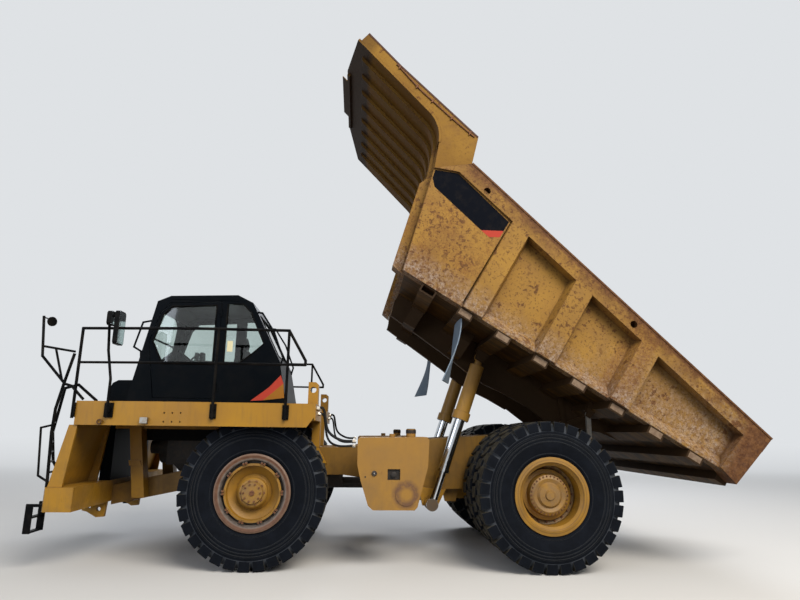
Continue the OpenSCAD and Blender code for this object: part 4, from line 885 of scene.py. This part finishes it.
lamp_x, lamp_z, lamp_ys = 6.918, 1.543, (1.25, 1.42, -1.25, -1.42)
lamp_way = Vector((0.9775, 0, 0.2108))
lenses, reflectors = Shape(), Shape()
for y in lamp_ys:
    face = truck(lamp_x, y, lamp_z)
    reflectors.turned_piece(face, lamp_way, [(0.060, -0.002), (0.060, 0.001)])
    lenses.turned_piece(face, lamp_way, [(0.067, -0.001), (0.067, 0.006), (0.050, 0.015), (0.020, 0.020)])
finish_shape("lamp_reflectors", reflectors, mirror_silver, "chassis")
finish_shape("lamp_lenses", lenses, lens_glass, "chassis", smooth=True)
print("lamps", len(lamp_ys))

# %% Shade sheets under the deck, which are painted shade
shade_sheet_y, shade_sheet_thickness = 0.600, 0.010
# Each black sheet stands in the deck's shadow as painted shade
for side, word in SIDES:
    shape = Shape()
    shape.slab([truck(x, side * shade_sheet_y, z) for x, z in rectangle((4.25, 1.72), (6.30, 2.20))],
               (0, side * shade_sheet_thickness, 0))
    finish_shape("shade_sheet_" + word, shape, trim_black, "chassis")

# %% [markdown]
# ## Hydraulics and hoses
# The hoist's collars are bolted glands with a rubber wiper ring, which strips dirt off the chrome. The
# hoses run from the deck's rear wall to the tank. Each is fixed at both ends in a hexagon fitting, so
# none of them hangs free. Each tank has a sight gauge, a drain bolt, a recessed valve and a filler
# cap, a plate closes the bumper's open back, and a washer lies on each face of a hoist eye.

# %% Hydraulics
hoist_y = 0.900
barrel_pin = bed(3.900, 0, -0.140)
rod_eye = truck(1.555, 0, 0.780)
hoist_way = (rod_eye - barrel_pin).normalized()
barrel_length, stage_length = 1.085, 1.960
for side, word in SIDES:
    across = Vector((0, side * hoist_y, 0))
    gland = barrel_pin + across + hoist_way * barrel_length
    bolts, gland_ring, stage_ring = Shape(), Shape(), Shape()
    for point in circle(gland, hoist_way, 0.121, 10):
        bolts.hexagon_bolt(point, hoist_way, 0.011, 0.011)
    gland_ring.hoop(gland, hoist_way, 0.094, 0.006)
    stage_ring.hoop(barrel_pin + across + hoist_way * stage_length, hoist_way, 0.067, 0.005)
    finish_shape("gland_bolts_" + word, bolts, plated_steel, "barrel_" + word)
    finish_shape("gland_ring_" + word, gland_ring, hose_rubber, "barrel_" + word, smooth=True)
    finish_shape("stage_ring_" + word, stage_ring, hose_rubber, "stage_" + word, smooth=True)
print("hoists lean", round(math.degrees(math.atan2(hoist_way.x, -hoist_way.z)), 1), "degrees")

# %% Hoses
def hose(name, points, radius):
    """A hose with a hexagon fitting at each end."""
    fitting_depth, fitting_height = 0.012, 0.05
    rubber, fittings = Shape(), Shape()
    rubber.tube(points, radius)
    for end, inner in ((0, 1), (-1, -2)):
        way = (points[inner] - points[end]).normalized()
        fittings.hexagon_bolt(points[end] - way * fitting_depth, way, radius * 1.7, fitting_height)
    finish_shape(name, rubber, hose_rubber, "chassis", smooth=True)
    finish_shape(name + "_fittings", fittings, plated_steel, "chassis")


# Distance across the truck, radius, and the route seen from the side
HOSES = {
    "tank_hose_": (1.900, 0.020, [(3.352, 2.215), (3.262, 2.205), (3.188, 1.905), (2.999, 1.774),
                                  (2.800, 1.763)]),
    "frame_hose_": (1.600, 0.017, [(3.352, 2.150), (3.272, 2.120), (3.206, 1.800), (3.060, 1.690),
                                   (2.800, 1.690)]),
}
for side, word in SIDES:
    for name, (y, radius, route) in HOSES.items():
        hose(name + word, [truck(x, side * y, z) for x, z in route], radius)
print("hoses", len(HOSES), "a side")

# %% Tank and skirt
# Places from the rear axle forwards, from the middle outwards and from the ground up
gauge_ring, gauge_glass = (2.51, 1.953, 1.32), (2.51, 1.951, 1.32)
drain_bolt, port, valve = (2.637, 1.9395, 1.27), (2.42, 1.930, 1.33), (2.23, 1.902, 1.305)
filler, skirt_boss = (1.960, 1.600, 1.880), (6.330, 2.0805, 1.990)
recess, recess_y, recess_depth = rectangle((2.143, 1.233), (2.317, 1.377)), 1.899, 0.003


def on_side(side, place):
    return truck(place[0], side * place[1], place[2])


def tank_fittings(side, word):
    """Sight gauge, drain bolt, the recessed valve, port plug and filler cap of one tank."""
    out = Vector((0, side, 0))
    rings, plug, glass = Shape(), Shape(), Shape()
    for radius in (0.031, 0.017):
        rings.hoop(on_side(side, gauge_ring), (0, 1, 0), radius, 0.006)
    rings.turned_piece(on_side(side, drain_bolt), out, [(0.012, 0.0), (0.012, 0.002)], steps=16)
    rings.slab([truck(x, side * recess_y, z) for x, z in recess], (0, side * recess_depth, 0))
    rings.turned_piece(on_side(side, valve), out, [(0.040, 0.0), (0.040, 0.036), (0.030, 0.042)])
    glass.turned_piece(on_side(side, gauge_glass), out, [(0.024, 0.0), (0.024, 0.003)])
    plug.turned_piece(on_side(side, port), out, [(0.0195, 0.0), (0.0195, 0.012)])
    rings.turned_piece(on_side(side, filler), (0, 0, 1), [(0.077, 0.0), (0.077, 0.045), (0.060, 0.068)])
    finish_shape("tank_fittings_" + word, rings, cast_iron, "chassis", smooth=True)
    finish_shape("sight_glass_" + word, glass, lens_glass, "chassis")
    finish_shape("port_plug_" + word, plug, tank_enamel, "chassis")


for side, word in SIDES:
    tank_fittings(side, word)
    boss = Shape()
    boss.hoop(on_side(side, skirt_boss), (0, 1, 0), 0.029, 0.007)
    finish_shape("skirt_ring_" + word, boss, dark_rust, "chassis", smooth=True)
print("tank fittings on", len(SIDES), "tanks")

# %% Bumper backs and hoist eyes
bumper_x, bumper_back_thickness = 6.600, 0.008
plug_place = (bumper_x + 0.100, 1.995, 0.950)
eye_half_width, eye_radius = 0.0705, 0.0955
for side, word in SIDES:
    shape, eye = Shape(), Shape()
    shape.slab([truck(bumper_x, side * y, z) for y, z in rectangle((0.78, 0.79), (1.998, 1.11))],
               (-bumper_back_thickness, 0, 0))
    shape.turned_piece(on_side(side, plug_place), (0, side, 0), [(0.0335, -0.02), (0.0335, 0.003)], steps=24)
    finish_shape("bumper_back_" + word, shape, chassis_enamel, "chassis")
    eye_middle = rod_eye + Vector((0, side * hoist_y, 0))
    for way in (-1, 1):
        eye.turned_piece(eye_middle + Vector((0, way * eye_half_width, 0)), (0, way, 0),
                         [(0.094, 0.0), (0.094, 0.002)])
    eye.hoop(eye_middle, (0, 1, 0), eye_radius, 0.004, 48)
    finish_shape("hoist_eye_" + word, eye, knuckle_iron, "rod_" + word, smooth=True)

# %% [markdown]
# ## Mud flaps
# Each flap is a sheet of rubber that hangs from a cross beam ahead of the rear tyres. It has taken a
# set with the years: its foot curls forwards, and its outer edge further than its inner one.

# %% Mud flaps
flap_low, flap_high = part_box("mud_flaps")
flap_inner_y, flap_thickness, flap_rows, flap_columns = 1.500, 0.018, 14, 5
beam_gap, wave_depth = 0.012, 0.012
flap_top = flap_high.z - beam_gap
inner_curl, outer_curl = 0.13, 0.28
shape = Shape()
for side, _ in SIDES:
    rings = []
    for k in range(flap_rows + 1):
        down = 1 - k / flap_rows
        z = flap_top - down * (flap_top - flap_low.z)
        front, back = [], []
        for s in (i / flap_columns for i in range(flap_columns + 1)):
            curl = (inner_curl + (outer_curl - inner_curl) * s) * down ** 1.5
            x = flap_low.x + curl + wave_depth * math.sin(5 * down + 3 * s)
            y = side * (flap_inner_y + (flap_high.y - flap_inner_y) * s)
            front.append((x + flap_thickness, y, z))
            back.append((x, y, z))
        ring = front + back[::-1]
        rings.append(ring if side > 0 else ring[::-1])
    shape.ring_stack(rings, cap_start=True, cap_end=True)
flaps = finish_shape("curled_mud_flaps", shape, flap_rubber_painted_light, "bed", smooth=True)
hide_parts("mud_flaps")
print("flaps", round(flap_top - flap_low.z, 2), "m high")

# %% [markdown]
# ## Spill board rods and beam ends
# A thin rod runs along the spill board through five small brackets, and the board's top edge is a
# rusted bar. The cross beams under the floor end in small plates, which carry the same stone dust as
# the sill. The first beam, at the tail, stays open.

# %% Spill board rods and beam ends
rod_y, bracket_y, bracket_depth = 2.163, 2.149, 0.030
bracket_places = [(7.543, 2.971), (7.128, 2.835), (6.787, 2.757), (6.373, 2.67), (5.991, 2.605)]
rod_route = [(7.62, 2.995)] + bracket_places + [(5.90, 2.59)]
top_edge = [(5.850, 2.640), (7.540, 3.020), (8.300, 3.230)]
top_edge_y, top_edge_depth = 2.1495, 0.007
beam_end_y, beam_end_depth, beam_pitch, beam_end_count = 2.1765, 0.008, 0.650, 7
rods, brackets, beam_ends, bars = Shape(), Shape(), Shape(), Shape()
for side, _ in SIDES:
    rods.tube([bed(u, side * rod_y, w) for u, w in rod_route], 0.011, sides=8, steps=3)
    for u, w in bracket_places:
        outline = rectangle((u + 0.010, w - 0.035), (u - 0.010, w + 0.035))
        brackets.slab([bed(a, side * bracket_y, b) for a, b in outline], (0, side * bracket_depth, 0))
    for k in range(1, beam_end_count + 1):
        beam_u = beam_pitch * k - 0.100
        outline = rectangle((beam_u, -0.030), (beam_u + 0.210, 0.080))
        beam_ends.slab([bed(a, side * beam_end_y, b) for a, b in outline], (0, side * -beam_end_depth, 0))
    upper = [bed(u, side * top_edge_y, w - 0.002) for u, w in top_edge]
    lower = [bed(u, side * top_edge_y, w - 0.030) for u, w in reversed(top_edge)]
    bars.slab(upper + lower, (0, side * top_edge_depth, 0))
finish_shape("beam_end_plates", beam_ends, beam_end_steel, "bed")
finish_shape("spill_board_edges", bars, dark_rust, "bed")
finish_shape("spill_board_rods", rods, rusty_steel, "bed", smooth=True)
finish_shape("spill_board_brackets", brackets, rusty_steel, "bed")
print("beam ends", beam_end_count, "a side, brackets", len(bracket_places), "a side")

# %% [markdown]
# ## Studio
# The floor is pale and runs up into a backdrop in one sweep, so there is no hard line behind the
# truck. A large key lamp stands high on the camera's side, towards the tail, and gives the form. A
# weaker one fills from the front on the same side, a third lights the top and the edges from the far
# side, and the world lights the rest evenly.

# %% Floor and backdrop
def seen(tree):
    """1 for the rays that show the background, straight, in a mirror or through glass."""
    rays = add(tree, "ShaderNodeLightPath").outputs
    return where_any(tree, rays["Is Camera Ray"], rays["Is Glossy Ray"], rays["Is Transmission Ray"])


def sweep_profile(near, far, radius, height, steps=24):
    """A floor that turns up into a wall, as places along y and z."""
    points = [(near, 0.0), (far + radius, 0.0)]
    for k in range(1, steps + 1):
        a = math.pi / 2 * k / steps
        points.append((far + radius - radius * math.sin(a), radius - radius * math.cos(a)))
    return points + [(far, height)]


# The floor is pale to the camera, and returns less light to the underside, as a dull yard does.
# Beyond the truck it blends into a backdrop that shows its own even colour to the camera.
backdrop_colour = linear("#dfe2e5")
backdrop_material, tree, shader, place = start_material("pale_studio_paint", 0.9, Specular_IOR_Level=0.1)
to_camera = seen(tree)
tree.links.new(paint(tree, "#6f6d6a", "#dadad8", to_camera), shader.inputs["Base Color"])
depth = add(tree, "ShaderNodeSeparateXYZ", {0: place}).outputs["Y"]
glow = add(tree, "ShaderNodeEmission", {"Color": backdrop_colour, "Strength": 1.0}).outputs[0]
share = where_all(tree, to_camera, between(tree, depth, -5.0, -26.0))
blend = add(tree, "ShaderNodeMixShader", {0: share, 1: shader.outputs[0], 2: glow}).outputs[0]
tree.links.new(blend, tree.nodes["Material Output"].inputs["Surface"])

half_width = 90.0
shape = Shape()
shape.ring_stack([[(x, y, z) for x in (-half_width, half_width)]
                  for y, z in sweep_profile(near=60.0, far=-34.0, radius=14.0, height=60.0)], closed=False)
mesh = bpy.data.meshes.new("studio_floor")
mesh.from_pydata([tuple(p) for p in shape.points], [], shape.faces)
mesh.materials.append(backdrop_material)
mesh.shade_smooth()
floor = bpy.data.objects.new("studio_floor", mesh)
bpy.context.scene.collection.objects.link(floor)

# %% Lamps and world
def area_lamp(name, place, target, size, energy, colour):
    lamp = bpy.data.lights.new(name, "AREA")
    lamp.shape, lamp.size, lamp.size_y = "RECTANGLE", size[0], size[1]
    lamp.energy = energy
    lamp.color = linear(colour)[:3]
    made = bpy.data.objects.new(name, lamp)
    made.location = place
    made.rotation_euler = (Vector(target) - Vector(place)).to_track_quat("-Z", "Y").to_euler()
    bpy.context.scene.collection.objects.link(made)


area_lamp("key_lamp", (-7, 16, 15), target=(0, 0, 3), size=(14, 10), energy=4700, colour="#fff6ea")
area_lamp("fill_lamp", (12, 14, 6), target=(0, 0, 2), size=(9, 7), energy=650, colour="#eaf1ff")
area_lamp("rim_lamp", (-4, -14, 13), target=(0, 0, 4), size=(12, 6), energy=1700, colour="#f2f6ff")

world = bpy.data.worlds.new("studio_world")
bpy.context.scene.world = world
world.use_nodes = True
# The world lights the truck evenly, and the camera sees the backdrop's colour in it
tree = world.node_tree
light = tree.nodes["Background"]
light.inputs["Color"].default_value = linear("#e6ebf2")
light.inputs["Strength"].default_value = 0.50
shown = add(tree, "ShaderNodeBackground", {"Color": backdrop_colour, "Strength": 1.0}).outputs[0]
blend = add(tree, "ShaderNodeMixShader", {0: seen(tree), 1: light.outputs[0], 2: shown}).outputs[0]
tree.links.new(blend, tree.nodes["World Output"].inputs["Surface"])
print("lamps", len(bpy.data.lights))

# %% [markdown]
# ## Camera
# The photograph was taken at about head height beside the truck, with a wide lens turned up a little.
# These numbers put the wheels, the deck and the tail of the bed where the photograph has them.

# %% Camera
photo_width_px = 800
focal_px = 584.5
camera_place = (rear_axle.x + 2.763, 10.600, 1.904)
pitch, yaw, roll = (math.radians(a) for a in (12.69, 3.90, 0.69))
forward = Vector((-math.sin(yaw), -math.cos(yaw), 0))
right = Vector((-math.cos(yaw), math.sin(yaw), 0))
up = Vector((0, 0, 1))
look = forward * math.cos(pitch) + up * math.sin(pitch)
lift = up * math.cos(pitch) - forward * math.sin(pitch)
camera_x = right * math.cos(roll) + lift * math.sin(roll)
camera_y = lift * math.cos(roll) - right * math.sin(roll)

camera_data = bpy.data.cameras.new("camera")
camera_data.sensor_width = 36.0
camera_data.lens = focal_px / photo_width_px * camera_data.sensor_width
camera = bpy.data.objects.new("camera", camera_data)
turned = Matrix((camera_x, camera_y, -look)).transposed().to_4x4()
camera.matrix_world = Matrix.Translation(camera_place) @ turned
bpy.context.scene.collection.objects.link(camera)
bpy.context.scene.camera = camera
bpy.context.scene.view_settings.view_transform = "Standard"
print("lens", round(camera_data.lens, 2), "mm")

# %% [markdown]
# ## Finish

# %% Finish
bpy.context.view_layer.update()
